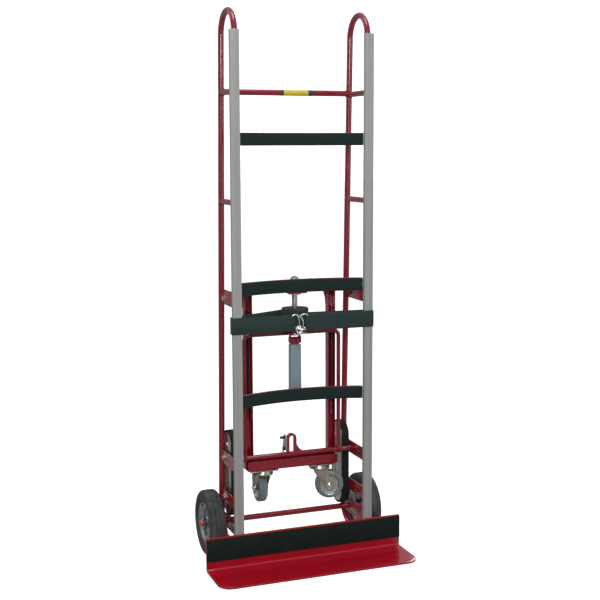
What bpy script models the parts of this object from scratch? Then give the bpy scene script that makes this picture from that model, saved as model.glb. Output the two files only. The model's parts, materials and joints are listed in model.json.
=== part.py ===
"""Convertible appliance hand truck with a kick-out caster frame, metres, +Z up.

The load leans on the two grey rails and faces -Y; the operator stands at +Y.
Distances named BACK are measured backwards from the rails' front faces.
The origin is the floor point under the middle of the truck's bounding box.
"""
import math

import bmesh
import bpy
from mathutils import Matrix, Vector

# ---------------------------------------------------------------- driving dimensions
GAP = 0.0003                 # clearance between touching pieces

TUBE_R = 0.0093              # side tube radius
SIDE_X = 0.2076              # side tubes' centre planes
FRONT_LEG_BACK = 0.0115      # front leg axis behind the rail faces
HAIRPIN_TOP = 1.6538         # centre line height at the top of the hairpin
HAIRPIN_R = 0.066            # centre line radius of the hairpin bend
REAR_LEG_LOW_BACK = 0.1967   # rear leg axis just above its lower bend
LOWER_BEND_Z = 0.120         # height where the lower bend starts
LOWER_BEND_R = 0.075

RAIL_IN = 0.1963             # rail cover, inner and outer faces
RAIL_OUT = 0.2246
RAIL_DEPTH = 0.0130
RAIL_WALL = 0.0015
RAIL_BOTTOM = 0.0985
RAIL_TOP = 1.5947

CROSSBAR_Z = 1.4245
CROSSBAR_R = 0.0088
STRUT_R = 0.0085
STRUT_HEIGHTS = (1.4215, 1.0990)

STRAP_LEVELS = {"top": (1.2663, 1.3016), "middle": (0.8254, 0.8636), "lower": (0.4886, 0.5261)}
STRAP_BACK = 0.010           # strap face behind the rail faces, at the rails
STRAP_THICK = 0.0025
BAR_THICK = 0.005
BAR_BORDER = 0.0012          # how far the steel bar shows above and below its strap
BOW = 0.035                  # how far the cross members curve backwards at the middle

TOE_HALF = 0.3175            # toe plate
TOE_LENGTH = 0.1574
TOE_THICK = 0.006
TOE_UP = 0.1045
TOE_CORNER_R = 0.040
STRIP_Z = (0.0317, 0.1008)
STRIP_THICK = 0.0027

WHEEL_R = 0.1016
WHEEL_IN = 0.2349
WHEEL_OUT = 0.2843
RIM_R = 0.064
AXLE_BACK = 0.149
AXLE_R = 0.0090

PIVOT_BACK = 0.130           # kick-out frame pivot
PIVOT_Z = 0.822
PIVOT_R = 0.006
ARM_IN = 0.125               # kick-out arms
ARM_OUT = 0.150
ARM_FRONT = 0.121
ARM_REAR = 0.144
ARM_WALL = 0.003
ANGLE_FRONT = 0.100
ANGLE_Z = (0.2635, 0.2930)
ANGLE_THICK = 0.003

STAY_BACK = 0.110            # cross tube and stay
STAY_TUBE_Z = 0.3045
STAY_TUBE_R = 0.0083
STAY_ROD_R = 0.0062
STAY_X = 0.1560
STAY_TOP_Z = 0.690
LATCH_PIVOT_Z = 0.324

CASTER_X = 0.0955            # casters
CASTER_BACK = 0.122
CASTER_TRAIL = 0.031
CASTER_R = 0.0455
CASTER_WIDE = 0.030
CASTER_AXLE_Z = 0.195
CASTER_TURN = {"left": math.radians(87.4), "right": math.radians(-20.6)}

CLIMB_IN = 0.1735            # stair climbers
CLIMB_OUT = 0.1978
CLIMB_BACK = 0.165
CLIMB_R = 0.045
CLIMB_Z = (0.157, 0.341)     # pulley heights
CLIMB_BELT = 0.0045

SHAFT_BACK = 0.085           # ratchet
SHAFT_R = 0.0085
COIL_R = 0.043
BELT_Z = (0.7130, 0.7636)
COIL_Z = (0.7214, 0.7720)
BELT_THICK = 0.0025
LEVER_PIVOT_Z = 0.672

LOAD_Y = (TOE_LENGTH - AXLE_BACK - WHEEL_R) / 2   # world Y of the rail faces

SIDES = {"left": -1, "right": 1}


# ---------------------------------------------------------------- scene helpers
def clear_scene():
    for obj in list(bpy.data.objects):
        bpy.data.objects.remove(obj)


def make_collection(name):
    collection = bpy.data.collections.new(name)
    bpy.context.scene.collection.children.link(collection)
    return collection


def make_material(name, color, roughness, metallic):
    material = bpy.data.materials.new(name)
    material.use_nodes = True
    shader = material.node_tree.nodes["Principled BSDF"]
    shader.inputs["Base Color"].default_value = (*color, 1.0)
    shader.inputs["Roughness"].default_value = roughness
    shader.inputs["Metallic"].default_value = metallic
    return material


clear_scene()
PARTS = make_collection("convertible_hand_truck")
CUTTERS = make_collection("cutters")
RED = ("red_enamel", (0.24, 0.006, 0.018), 0.3, 0.0)
GREY = ("rail_grey", (0.26, 0.26, 0.25), 0.5, 0.1)
GREEN = ("strap_green", (0.012, 0.03, 0.028), 0.8, 0.0)
ZINC = ("zinc_plate", (0.62, 0.60, 0.55), 0.35, 1.0)
CHROME = ("chrome_plate", (0.8, 0.8, 0.8), 0.12, 1.0)
BLACK = ("black_rubber", (0.02, 0.02, 0.022), 0.75, 0.0)
GRIP = ("grip_vinyl", (0.17, 0.23, 0.26), 0.45, 0.0)
CASTER_GREY = ("caster_rubber", (0.22, 0.24, 0.26), 0.6, 0.0)


def place(x, back, z):
    """World point from a sideways, a backwards and an upwards distance."""
    return Vector((x, LOAD_Y + back, z))


def finish(obj, name, look):
    """Name an object, give it its own material and put it with the parts."""
    obj.name = name
    obj.data.name = name
    obj.data.materials.clear()
    obj.data.materials.append(make_material(name + "_" + look[0], *look[1:]))
    for collection in list(obj.users_collection):
        collection.objects.unlink(obj)
    PARTS.objects.link(obj)
    return obj


def link(obj):
    bpy.context.scene.collection.objects.link(obj)
    return obj


def mesh_object(bm):
    mesh = bpy.data.meshes.new("mesh")
    bm.to_mesh(mesh)
    bm.free()
    return link(bpy.data.objects.new("piece", mesh))


def smooth(obj, degrees=35):
    obj.data.shade_smooth()
    obj.data.set_sharp_from_angle(angle=math.radians(degrees))
    return obj


def box(x_range, back_range, z_range):
    """An axis-aligned block between sideways, backwards and upwards limits."""
    low = place(x_range[0], back_range[0], z_range[0])
    high = place(x_range[1], back_range[1], z_range[1])
    bm = bmesh.new()
    bmesh.ops.create_cube(bm, size=1.0)
    bmesh.ops.scale(bm, vec=high - low, verts=bm.verts)
    bmesh.ops.translate(bm, vec=(low + high) / 2, verts=bm.verts)
    return mesh_object(bm)


def rod(start, end, radius, segments=16):
    """A solid cylinder between two world points."""
    axis = end - start
    turn = axis.to_track_quat("Z", "Y").to_matrix().to_4x4()
    bm = bmesh.new()
    bmesh.ops.create_cone(bm, cap_ends=True, segments=segments, radius1=radius, radius2=radius,
                          depth=axis.length, matrix=Matrix.Translation((start + end) / 2) @ turn)
    return smooth(mesh_object(bm))


def tube(paths, radius, rings=3):
    """Round bars along world paths, one spline for each."""
    curve = bpy.data.curves.new("tube", "CURVE")
    curve.dimensions = "3D"
    curve.bevel_depth = radius
    curve.bevel_resolution = rings
    curve.use_fill_caps = True
    for path in paths:
        spline = curve.splines.new("POLY")
        spline.points.add(len(path) - 1)
        for point, position in zip(spline.points, path):
            point.co = (*position, 1.0)
    return link(bpy.data.objects.new("tube", curve))


def plate(outlines, thickness, matrix):
    """Flat outlines, extruded both ways from their own plane and placed by a matrix."""
    curve = bpy.data.curves.new("plate", "CURVE")
    curve.dimensions = "2D"
    curve.fill_mode = "BOTH"
    curve.extrude = thickness / 2
    for outline in outlines:
        spline = curve.splines.new("POLY")
        spline.points.add(len(outline) - 1)
        for point, (u, v) in zip(spline.points, outline):
            point.co = (u, v, 0.0, 1.0)
        spline.use_cyclic_u = True
    obj = link(bpy.data.objects.new("plate", curve))
    obj.matrix_world = matrix
    return obj


def side_plane(x):
    """Outline axes (backwards, up) in the vertical plane at a sideways distance."""
    matrix = Matrix(((0, 0, 1), (1, 0, 0), (0, 1, 0))).to_4x4()
    matrix.translation = place(x, 0, 0)
    return matrix


def front_plane(back):
    """Outline axes (sideways, up) in the plane at a backwards distance."""
    matrix = Matrix(((1, 0, 0), (0, 0, -1), (0, 1, 0))).to_4x4()
    matrix.translation = place(0, back, 0)
    return matrix


def level_plane(z):
    """Outline axes (sideways, backwards) in the plane at a height."""
    return Matrix.Translation(place(0, 0, z))


def turned(profile, segments, location, axis="Z", closed=True):
    """A profile of (radius, height) points turned round its axis."""
    mesh = bpy.data.meshes.new("profile")
    count = len(profile)
    edges = [(i, (i + 1) % count) for i in range(count if closed else count - 1)]
    mesh.from_pydata([(radius, 0.0, height) for radius, height in profile], edges, [])
    obj = link(bpy.data.objects.new("turned", mesh))
    screw = obj.modifiers.new("turn", "SCREW")
    screw.axis = "Z"
    screw.angle = math.tau
    screw.steps = segments
    screw.render_steps = segments
    screw.use_merge_vertices = True
    screw.merge_threshold = 0.00005
    screw.use_smooth_shade = True
    if axis == "X":
        obj.rotation_euler = (0, math.pi / 2, 0)
    obj.location = location
    return obj


def ring(inner, outer, height, segments, location, axis="Z"):
    """A plain turned ring, centred on its location."""
    half = height / 2
    profile = [(outer, half), (outer, -half), (inner, -half), (inner, half)]
    return turned(profile, segments, location, axis)


def solid_mesh(obj):
    """The evaluated mesh of an object in world space, with loose caps welded."""
    bpy.context.view_layer.update()
    evaluated = obj.evaluated_get(bpy.context.evaluated_depsgraph_get())
    mesh = bpy.data.meshes.new_from_object(evaluated)
    mesh.transform(obj.matrix_world)
    bm = bmesh.new()
    bm.from_mesh(mesh)
    bmesh.ops.remove_doubles(bm, verts=bm.verts, dist=0.00001)
    bm.to_mesh(mesh)
    bm.free()
    bpy.data.objects.remove(obj)
    return mesh


def baked(obj):
    """An object whose curve or modifiers have become a plain mesh."""
    return link(bpy.data.objects.new("piece", solid_mesh(obj)))


def combine(base, tool, operation):
    """Boolean of two solids; the second one is kept with the cutters."""
    base = baked(base)
    tool = baked(tool)
    boolean = base.modifiers.new("boolean", "BOOLEAN")
    boolean.operation = operation
    boolean.object = tool
    bpy.context.view_layer.update()
    result = baked(base)
    tool.hide_render = True
    tool.display_type = "WIRE"
    bpy.context.scene.collection.objects.unlink(tool)
    CUTTERS.objects.link(tool)
    return result


def unite(pieces):
    """One welded solid from pieces that run into each other."""
    whole = pieces[0]
    for piece in pieces[1:]:
        whole = combine(whole, piece, "UNION")
    return smooth(whole)


def arc(centre, radius, start, end, count):
    """Points (u, v) on an arc, angles in degrees."""
    points = []
    for i in range(count):
        angle = math.radians(start + (end - start) * i / (count - 1))
        points.append((centre[0] + radius * math.cos(angle), centre[1] + radius * math.sin(angle)))
    return points


def rounded_box(u_range, v_range, radius, count=4):
    """A rectangle with round corners, counter-clockwise."""
    u0, u1 = u_range
    v0, v1 = v_range
    return (arc((u1 - radius, v0 + radius), radius, -90, 0, count)
            + arc((u1 - radius, v1 - radius), radius, 0, 90, count)
            + arc((u0 + radius, v1 - radius), radius, 90, 180, count)
            + arc((u0 + radius, v0 + radius), radius, 180, 270, count))


def stadium(back, low, high, radius, count=13):
    """An upright outline with round ends."""
    return (arc((back, high), radius, 0, 180, count)
            + arc((back, low), radius, 180, 360, count))


def thick_line(path, thickness):
    """The outline of a strip of even thickness along a path in a plane."""
    left = []
    right = []
    for i, point in enumerate(path):
        before = Vector(path[max(i - 1, 0)])
        after = Vector(path[min(i + 1, len(path) - 1)])
        along = (after - before).normalized()
        aside = Vector((-along.y, along.x)) * thickness / 2
        left.append(tuple(Vector(point) + aside))
        right.append(tuple(Vector(point) - aside))
    return left + right[::-1]


def band(path, thickness, z_range):
    """An upright strip that follows a path of (sideways, backwards) points."""
    middle = (z_range[0] + z_range[1]) / 2
    return plate([thick_line(path, thickness)], z_range[1] - z_range[0], level_plane(middle))


# ---------------------------------------------------------------- frame
def rear_leg_back(z):
    """Backwards distance of the leaning rear leg at a height."""
    top = FRONT_LEG_BACK + 2 * HAIRPIN_R
    top_z = HAIRPIN_TOP - HAIRPIN_R
    share = (z - LOWER_BEND_Z) / (top_z - LOWER_BEND_Z)
    return REAR_LEG_LOW_BACK + (top - REAR_LEG_LOW_BACK) * share


def side_tube_path(x):
    """Front leg, hairpin, rear leg and the lower bend to the toe plate."""
    top_z = HAIRPIN_TOP - HAIRPIN_R
    bend_back = REAR_LEG_LOW_BACK - LOWER_BEND_R
    points = [(FRONT_LEG_BACK, 0.058)]
    points += arc((FRONT_LEG_BACK + HAIRPIN_R, top_z), HAIRPIN_R, 180, 0, 17)
    points += arc((bend_back, LOWER_BEND_Z), LOWER_BEND_R, 0, -90, 9)
    points.append((2 * GAP, LOWER_BEND_Z - LOWER_BEND_R))
    return [place(x, back, z) for back, z in points]


def make_frame():
    for side, sign in SIDES.items():
        x = sign * SIDE_X
        pieces = [tube([side_tube_path(x)], TUBE_R)]
        for z in STRUT_HEIGHTS:
            ends = [place(x, FRONT_LEG_BACK, z), place(x, rear_leg_back(z), z)]
            pieces.append(tube([ends], STRUT_R, 2))
        finish(unite(pieces), "side_tube_" + side, RED)
        make_rail(side, sign)
    back = rear_leg_back(CROSSBAR_Z)
    end = SIDE_X - TUBE_R - GAP
    finish(tube([[place(-end, back, CROSSBAR_Z), place(end, back, CROSSBAR_Z)]], CROSSBAR_R),
           "crossbar", RED)


def make_rail(side, sign):
    """A channel cover round the front leg, open at the back."""
    inner = sign * RAIL_IN
    outer = sign * RAIL_OUT
    wall = sign * RAIL_WALL
    outline = [(inner, 0), (outer, 0), (outer, RAIL_DEPTH), (outer - wall, RAIL_DEPTH),
               (outer - wall, RAIL_WALL), (inner + wall, RAIL_WALL), (inner + wall, RAIL_DEPTH),
               (inner, RAIL_DEPTH)]
    middle = (RAIL_BOTTOM + RAIL_TOP) / 2
    rail = plate([outline], RAIL_TOP - RAIL_BOTTOM, level_plane(middle))
    finish(rail, "rail_cover_" + side, GREY)


def bowed_path(back, half, count=13):
    """Points of a cross member that curves backwards between the rails."""
    points = []
    for i in range(count):
        x = half * (2 * i / (count - 1) - 1)
        points.append((x, back + BOW * (1 - (x / half) ** 2)))
    return points


def make_cross_members():
    half = RAIL_IN - 0.0014
    for level, (low, high) in STRAP_LEVELS.items():
        strap_back = STRAP_BACK + STRAP_THICK / 2
        bar_back = STRAP_BACK + STRAP_THICK + GAP + BAR_THICK / 2
        strap = band(bowed_path(strap_back, half), STRAP_THICK, (low, high))
        finish(strap, "strap_" + level, GREEN)
        bar = band(bowed_path(bar_back, half), BAR_THICK, (low - BAR_BORDER, high + BAR_BORDER))
        finish(bar, "crossmember_" + level, RED)


def bracket_outline(low, high):
    """A flat bar between the front leg and the rear leg."""
    start = FRONT_LEG_BACK + TUBE_R + GAP
    return [(start, low), (rear_leg_back(low) - TUBE_R - 2 * GAP, low),
            (rear_leg_back(high) - TUBE_R - 2 * GAP, high), (start, high)]


def bolt_head(sign, back, z, radius):
    """Hex head on the outer face of a side bracket."""
    outer = SIDE_X + 0.0020
    return rod(place(sign * outer, back, z), place(sign * (outer + 0.0075), back, z), radius, 6)


def make_side_brackets():
    """Climber and axle brackets, and the brackets beside the kick-out pivot."""
    thick = 0.005
    for side, sign in SIDES.items():
        plane = side_plane(sign * SIDE_X)
        for level, low, high in (("upper", 0.2831, 0.3228), ("lower", 0.1600, 0.1970)):
            middle = (low + high) / 2
            spacer = rod(place(sign * (CLIMB_OUT + GAP), 0.150, middle),
                         place(sign * SIDE_X, 0.150, middle), 0.007, 12)
            pieces = [plate([bracket_outline(low, high)], thick, plane), spacer,
                      bolt_head(sign, 0.150, middle, 0.008)]
            finish(unite(pieces), "climber_bracket_" + level + "_" + side, RED)
        axle_plate = [(0.021, 0.082), (0.172, 0.082), (0.176, 0.122), (0.10, 0.128), (0.021, 0.138)]
        axle_hole = arc((AXLE_BACK, WHEEL_R), AXLE_R + GAP, 360, 0, 17)[:-1]
        pieces = [plate([axle_plate, axle_hole], thick, plane), bolt_head(sign, 0.058, 0.112, 0.007)]
        finish(unite(pieces), "axle_bracket_" + side, RED)
        pieces = [plate([bracket_outline(0.787, 0.832)], thick, plane),
                  bolt_head(sign, PIVOT_BACK, 0.806, 0.007)]
        finish(unite(pieces), "pivot_bracket_" + side, RED)


def make_toe():
    deck = plate([rounded_box((-TOE_HALF, TOE_HALF), (-TOE_LENGTH, 0.03), TOE_CORNER_R, 6)],
                 TOE_THICK, level_plane(TOE_THICK / 2))
    trim = box((-1, 1), (0, 0.1), (-1, 1))
    deck = combine(deck, trim, "DIFFERENCE")
    upstand = box((-TOE_HALF, TOE_HALF), (-TOE_THICK, 0), (0.001, TOE_UP))
    finish(combine(deck, upstand, "UNION"), "toe_plate", RED)
    face = -TOE_THICK - GAP
    strip = box((-TOE_HALF, TOE_HALF), (face - STRIP_THICK, face), STRIP_Z)
    finish(strip, "toe_strip", BLACK)


# ---------------------------------------------------------------- wheels and axle
def tyre_profile():
    """Tyre section about its own middle: height is along the axle."""
    half = (WHEEL_OUT - WHEEL_IN) / 2
    shoulder = 0.014
    points = [(RIM_R, half - 0.004), (WHEEL_R - shoulder, half)]
    points += [(WHEEL_R - shoulder + u, half - shoulder + v)
               for u, v in arc((0, 0), shoulder, 75, 0, 4)]
    points += [(u, -v) for u, v in reversed(points[2:])]
    points += [(WHEEL_R - shoulder, -half), (RIM_R, -half + 0.004)]
    return points


def hub_profile():
    """Pressed steel wheel centre with a barrel on the axle."""
    half = (WHEEL_OUT - WHEEL_IN) / 2
    rim = RIM_R - GAP
    outer = [(AXLE_R + GAP, half + 0.0005), (0.017, half + 0.0005), (0.017, half - 0.010),
             (0.030, half - 0.013), (0.052, half - 0.017), (rim - 0.003, half - 0.006),
             (rim, half - 0.006)]
    inner = [(rim, -half + 0.006), (rim - 0.003, -half + 0.006), (0.052, -half + 0.017),
             (0.030, -half + 0.013), (0.017, -half + 0.010), (0.017, -half - 0.001),
             (AXLE_R + GAP, -half - 0.001)]
    return outer + inner


def make_wheels():
    middle = (WHEEL_IN + WHEEL_OUT) / 2
    end = WHEEL_OUT + 0.008
    pieces = [rod(place(-end, AXLE_BACK, WHEEL_R), place(end, AXLE_BACK, WHEEL_R), AXLE_R, 20)]
    for side, sign in SIDES.items():
        centre = place(sign * middle, AXLE_BACK, WHEEL_R)
        finish(turned(tyre_profile(), 48, centre, "X"), "tyre_" + side, BLACK)
        hub = turned(hub_profile(), 32, centre, "X")
        if sign < 0:
            hub.rotation_euler = (0, -math.pi / 2, 0)
        finish(hub, "wheel_hub_" + side, ZINC)
        start = WHEEL_OUT + 0.0016
        pieces.append(rod(place(sign * start, AXLE_BACK, WHEEL_R),
                          place(sign * (start + 0.0094), AXLE_BACK, WHEEL_R), 0.0135, 20))
    finish(unite(pieces), "axle", RED)


# ---------------------------------------------------------------- kick-out frame
def arm_solid(sign):
    """A channel that opens forwards, flared at its pivot, with a hook for the stay."""
    middle = sign * (ARM_IN + ARM_OUT) / 2
    half = (ARM_OUT - ARM_IN) / 2
    low = ANGLE_Z[0] + ANGLE_THICK + GAP
    high = PIVOT_Z + 0.014
    body = box((middle - half, middle + half), (ARM_FRONT, ARM_REAR), (low, high))
    inner = half - ARM_WALL
    trough = box((middle - inner, middle + inner), (ARM_FRONT - 0.01, ARM_REAR - ARM_WALL),
                 (low - 0.01, high + 0.01))
    body = combine(body, trough, "DIFFERENCE")
    bore = rod(place(middle - 0.03, PIVOT_BACK, PIVOT_Z), place(middle + 0.03, PIVOT_BACK, PIVOT_Z),
               PIVOT_R + GAP, 20)
    return combine(body, bore, "DIFFERENCE")


def flare(sign):
    """Gusset plate behind the channel's head."""
    middle = sign * (ARM_IN + ARM_OUT) / 2
    half = (ARM_OUT - ARM_IN) / 2
    wide = half + 0.0075
    outline = [(middle - half, 0.770), (middle - half - 0.0012, 0.790), (middle - wide, 0.814),
               (middle - wide, 0.836), (middle + wide, 0.836), (middle + wide, 0.814),
               (middle + half + 0.0012, 0.790), (middle + half, 0.770)][::-1]
    return plate([outline[::-1]], 0.0025, front_plane(ARM_REAR + 0.0005))


def stay_hook(sign):
    """Hook plate inside the channel that catches the stay's bar."""
    rear = ARM_REAR - ARM_WALL / 2
    outline = [(rear, 0.418), (rear, 0.462), (0.114, 0.462), (0.106, 0.455), (0.106, 0.449),
               (0.112, 0.449), (0.117, 0.444), (0.117, 0.438), (0.112, 0.433), (0.106, 0.431),
               (0.106, 0.424), (0.112, 0.418)]
    return plate([outline[::-1]], 0.003, side_plane(sign * 0.132))


def make_kickout():
    for side, sign in SIDES.items():
        finish(unite([arm_solid(sign), flare(sign), stay_hook(sign)]), "kickout_arm_" + side, RED)
    front = ANGLE_FRONT
    low, high = ANGLE_Z
    rear = ARM_REAR + GAP
    lip = low + 0.0235
    section = [(front, low), (rear + ANGLE_THICK, low), (rear + ANGLE_THICK, lip), (rear, lip),
               (rear, low + ANGLE_THICK), (front + ANGLE_THICK, low + ANGLE_THICK),
               (front + ANGLE_THICK, high), (front, high)]
    finish(plate([section], 2 * ARM_OUT, side_plane(0)), "kickout_angle", RED)
    end = SIDE_X - 0.0025 - GAP
    finish(rod(place(-end, PIVOT_BACK, PIVOT_Z), place(end, PIVOT_BACK, PIVOT_Z), PIVOT_R, 20),
           "kickout_pivot_rod", ZINC)


def caster_matrix(side, sign):
    """Caster axes: +X trails from the kingpin to the wheel, +Z is up."""
    centre = place(sign * CASTER_X, CASTER_BACK, 0)
    return Matrix.Translation(centre) @ Matrix.Rotation(CASTER_TURN[side], 4, "Z")


def fork_leg(offset, matrix):
    """One flat leg of the fork, from under the dish down to the wheel's bolt."""
    axle = (CASTER_TRAIL, CASTER_AXLE_Z)
    outline = [(-0.020, 0.2490), (-0.016, 0.236)] + arc(axle, 0.0115, 215, 385, 7) + [(0.027, 0.2490)]
    plane = Matrix(((1, 0, 0), (0, 0, -1), (0, 1, 0))).to_4x4()
    plane.translation = Vector((0, offset, 0))
    return plate([outline], 0.0025, matrix @ plane)


def fork_hood(matrix):
    """Half of a round skirt under the dish, on the side away from the wheel."""
    ring_z = (0.2500 + 0.2375) / 2
    skirt = ring(0.0305, 0.0330, 0.0125, 24, matrix @ Vector((0, 0, ring_z)), "Z")
    cutter = box((-1, 1), (0, 1), (0, 1))
    cutter.matrix_world = matrix @ Matrix.Rotation(-math.pi / 2, 4, "Z") @ cutter.matrix_world
    return combine(skirt, cutter, "DIFFERENCE")


def make_casters():
    for side, sign in SIDES.items():
        x = sign * CASTER_X
        matrix = caster_matrix(side, sign)
        top = ANGLE_Z[0] - GAP
        mount = box((x - 0.044, x + 0.044), (0.0925, 0.1515), (top - 0.0028, top))
        race = turned([(0.0, top - 0.0015), (0.025, top - 0.0015), (0.028, top - 0.0066),
                       (0.0, top - 0.0066)], 24, place(x, CASTER_BACK, 0), closed=False)
        finish(unite([mount, race]), "caster_plate_" + side, ZINC)
        dish = turned([(0.0, 0.2564), (0.031, 0.2564), (0.033, 0.2520), (0.033, 0.2475),
                       (0.0, 0.2475)], 24, place(x, CASTER_BACK, 0), closed=False)
        pieces = [dish, fork_hood(matrix)]
        for offset in (-0.0185, 0.0185):
            pieces.append(fork_leg(offset, matrix))
            start = matrix @ Vector((CASTER_TRAIL, math.copysign(0.0190, offset), CASTER_AXLE_Z))
            end = matrix @ Vector((CASTER_TRAIL, math.copysign(0.0255, offset), CASTER_AXLE_Z))
            pieces.append(rod(start, end, 0.0075, 6))
        bolt_ends = [matrix @ Vector((CASTER_TRAIL, y, CASTER_AXLE_Z)) for y in (-0.020, 0.020)]
        pieces.append(rod(*bolt_ends, 0.004, 12))
        finish(unite(pieces), "caster_fork_" + side, ZINC)
        make_caster_wheel(side, matrix)


def make_caster_wheel(side, matrix):
    half = CASTER_WIDE / 2
    hub = 0.0162
    profile = [(0.0043, hub), (0.010, hub), (0.010, half - 0.004), (0.030, half - 0.004),
               (0.034, half), (CASTER_R - 0.006, half), (CASTER_R, half - 0.008)]
    profile += [(radius, -height) for radius, height in reversed(profile)]
    wheel = turned(profile, 32, (0, 0, 0))
    upright = Matrix.Rotation(math.pi / 2, 4, "X")
    wheel.matrix_world = matrix @ Matrix.Translation((CASTER_TRAIL, 0, CASTER_AXLE_Z)) @ upright
    finish(wheel, "caster_wheel_" + side, CASTER_GREY)


# ---------------------------------------------------------------- stay and latch
def make_stay():
    bend = 0.018
    foot = STAY_TUBE_Z + 0.0098
    corner = (STAY_X - bend, STAY_TOP_Z - bend)
    path = [(STAY_X, foot)] + arc(corner, bend, 0, 90, 6)
    path += [(-x, z) for x, z in reversed(path)]
    bail = tube([[place(x, STAY_BACK, z) for x, z in path]], STAY_ROD_R, 2)
    pieces = [bail]
    for sign in SIDES.values():
        pieces.append(ring(STAY_TUBE_R + GAP, 0.0112, 0.010,
                           20, place(sign * STAY_X, STAY_BACK, STAY_TUBE_Z), "X"))
    finish(unite(pieces), "stay_bail", RED)


def make_latch():
    """A loop bracket on the cross tube and a hook lever pivoted on its left leg."""
    end = SIDE_X - 0.0025 - GAP
    cross = tube([[place(-end, STAY_BACK, STAY_TUBE_Z), place(end, STAY_BACK, STAY_TUBE_Z)]],
                 STAY_TUBE_R)
    low = STAY_TUBE_Z + STAY_TUBE_R - 0.002
    top = 0.3717
    x0, x1 = -0.0197, 0.0122
    bar = 0.0082
    outer_r = (x1 - x0) / 2
    middle = (x0 + x1) / 2
    loop = [(x0, low)] + arc((middle, top - outer_r), outer_r, 180, 0, 11) + [(x1, low)]
    loop += [(x1 - bar, low)] + arc((middle, top - outer_r), outer_r - bar, 0, 180, 11)
    loop += [(x0 + bar, low)]
    gusset = [(x1 - 0.001, low), (x1 + 0.024, low), (x1 + 0.010, low + 0.010), (x1 - 0.001, low + 0.028)]
    pieces = [cross, plate([loop[::-1]], 0.011, front_plane(STAY_BACK)),
              plate([gusset], 0.006, front_plane(STAY_BACK))]
    finish(unite(pieces), "stay_tube", RED)
    pivot = (STAY_BACK, LATCH_PIVOT_Z)
    hook = [(0.1045, 0.3190), (0.1100, 0.3163), (0.1160, 0.3190), (0.1180, 0.3225),
            (0.1340, 0.3225), (0.1345, 0.3120), (0.1295, 0.3005), (0.1329, 0.2976),
            (0.1401, 0.3040), (0.1415, 0.3230), (0.1360, 0.3340), (0.1335, 0.3450),
            (0.1325, 0.3590), (0.1220, 0.3670), (0.1060, 0.3650), (0.1030, 0.3450)]
    lever = plate([hook], 0.003, side_plane(x0 - GAP - 0.0015))
    left = x0 - GAP - 0.002
    peg = rod(place(left, 0.112, 0.3595), place(left - 0.0165, 0.112, 0.3595), 0.0036, 12)
    knob = rod(place(left, *pivot), place(left - 0.009, *pivot), 0.005, 12)
    finish(unite([lever, peg, knob]), "latch_lever", ZINC)


# ---------------------------------------------------------------- stair climbers
def make_climbers():
    low, high = CLIMB_Z
    width = CLIMB_OUT - CLIMB_IN
    plate_thick = 0.002
    inner_r = CLIMB_R - CLIMB_BELT
    for side, sign in SIDES.items():
        middle = sign * (CLIMB_IN + CLIMB_OUT) / 2
        loop = [stadium(CLIMB_BACK, low, high, CLIMB_R), stadium(CLIMB_BACK, low, high, inner_r)[::-1]]
        finish(plate(loop, width, side_plane(middle)), "climber_belt_" + side, BLACK)
        pieces = []
        for face in (CLIMB_IN, CLIMB_OUT - plate_thick):
            outline = stadium(CLIMB_BACK, low, high, inner_r - 0.002)
            pieces.append(plate([outline], plate_thick, side_plane(sign * (face + plate_thick / 2))))
        block_z = (low + inner_r + 0.003, high - inner_r - 0.003)
        pieces.append(box(sorted((sign * (CLIMB_IN + 0.001), sign * (CLIMB_OUT - 0.001))),
                          (CLIMB_BACK - 0.02, CLIMB_BACK + 0.02), block_z))
        finish(unite(pieces), "climber_frame_" + side, ZINC)
        for name, z in zip(("lower", "upper"), CLIMB_Z):
            wheel = rod(place(middle - width / 2 + plate_thick + GAP, CLIMB_BACK, z),
                        place(middle + width / 2 - plate_thick - GAP, CLIMB_BACK, z),
                        inner_r - 2 * GAP, 36)
            finish(wheel, "climber_pulley_" + name + "_" + side, BLACK)


# ---------------------------------------------------------------- belt and ratchet
def make_ratchet():
    bracket_front = STRAP_BACK + BOW + STRAP_THICK + BAR_THICK + 4 * GAP
    web = box((-0.030, 0.030), (bracket_front, bracket_front + 0.003), (0.8205, 0.8475))
    bore = arc((0.0, SHAFT_BACK), SHAFT_R + GAP, 360, 0, 17)[:-1]
    lower = plate([rounded_box((-0.030, 0.030), (bracket_front, 0.112), 0.008), bore], 0.003,
                  level_plane(0.8225 - 0.0015 - GAP))
    upper = plate([rounded_box((-0.030, 0.068), (bracket_front, 0.112), 0.008), bore], 0.003,
                  level_plane(0.8455 + 0.0015 + GAP))
    finish(unite([web, lower, upper]), "ratchet_bracket", RED)
    deck = 0.8455 + 0.003 + 2 * GAP
    shaft = turned([(0.0, 0.8700), (SHAFT_R, 0.8700), (SHAFT_R, 0.8193 - 0.0010),
                    (0.0205, 0.8193 - 0.0010), (0.0205, 0.8193 - 0.0032),
                    (SHAFT_R, 0.8193 - 0.0032), (SHAFT_R, 0.7035), (0.0, 0.7035)],
                   24, place(0, SHAFT_BACK, 0), closed=False)
    finish(shaft, "ratchet_shaft", ZINC)
    teeth = 14
    outline = []
    for i in range(teeth):
        for share, radius in ((0.0, 0.0195), (0.25, 0.0195), (0.35, 0.0160), (0.9, 0.0175)):
            angle = math.tau * (i + share) / teeth
            outline.append((radius * math.cos(angle), SHAFT_BACK + radius * math.sin(angle)))
    bore = arc((0.0, SHAFT_BACK), SHAFT_R + GAP, 360, 0, 17)[:-1]
    wheel = plate([outline, bore], 0.007, level_plane(deck + GAP + 0.0035 + 0.001))
    hexagon = arc((0.0, SHAFT_BACK), 0.0145, 0, 300, 6)
    nut = plate([hexagon, bore], 0.0085, level_plane(deck + 0.0115))
    finish(unite([wheel, nut]), "ratchet_wheel", CHROME)
    make_pawl(deck)
    make_lever()


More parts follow.
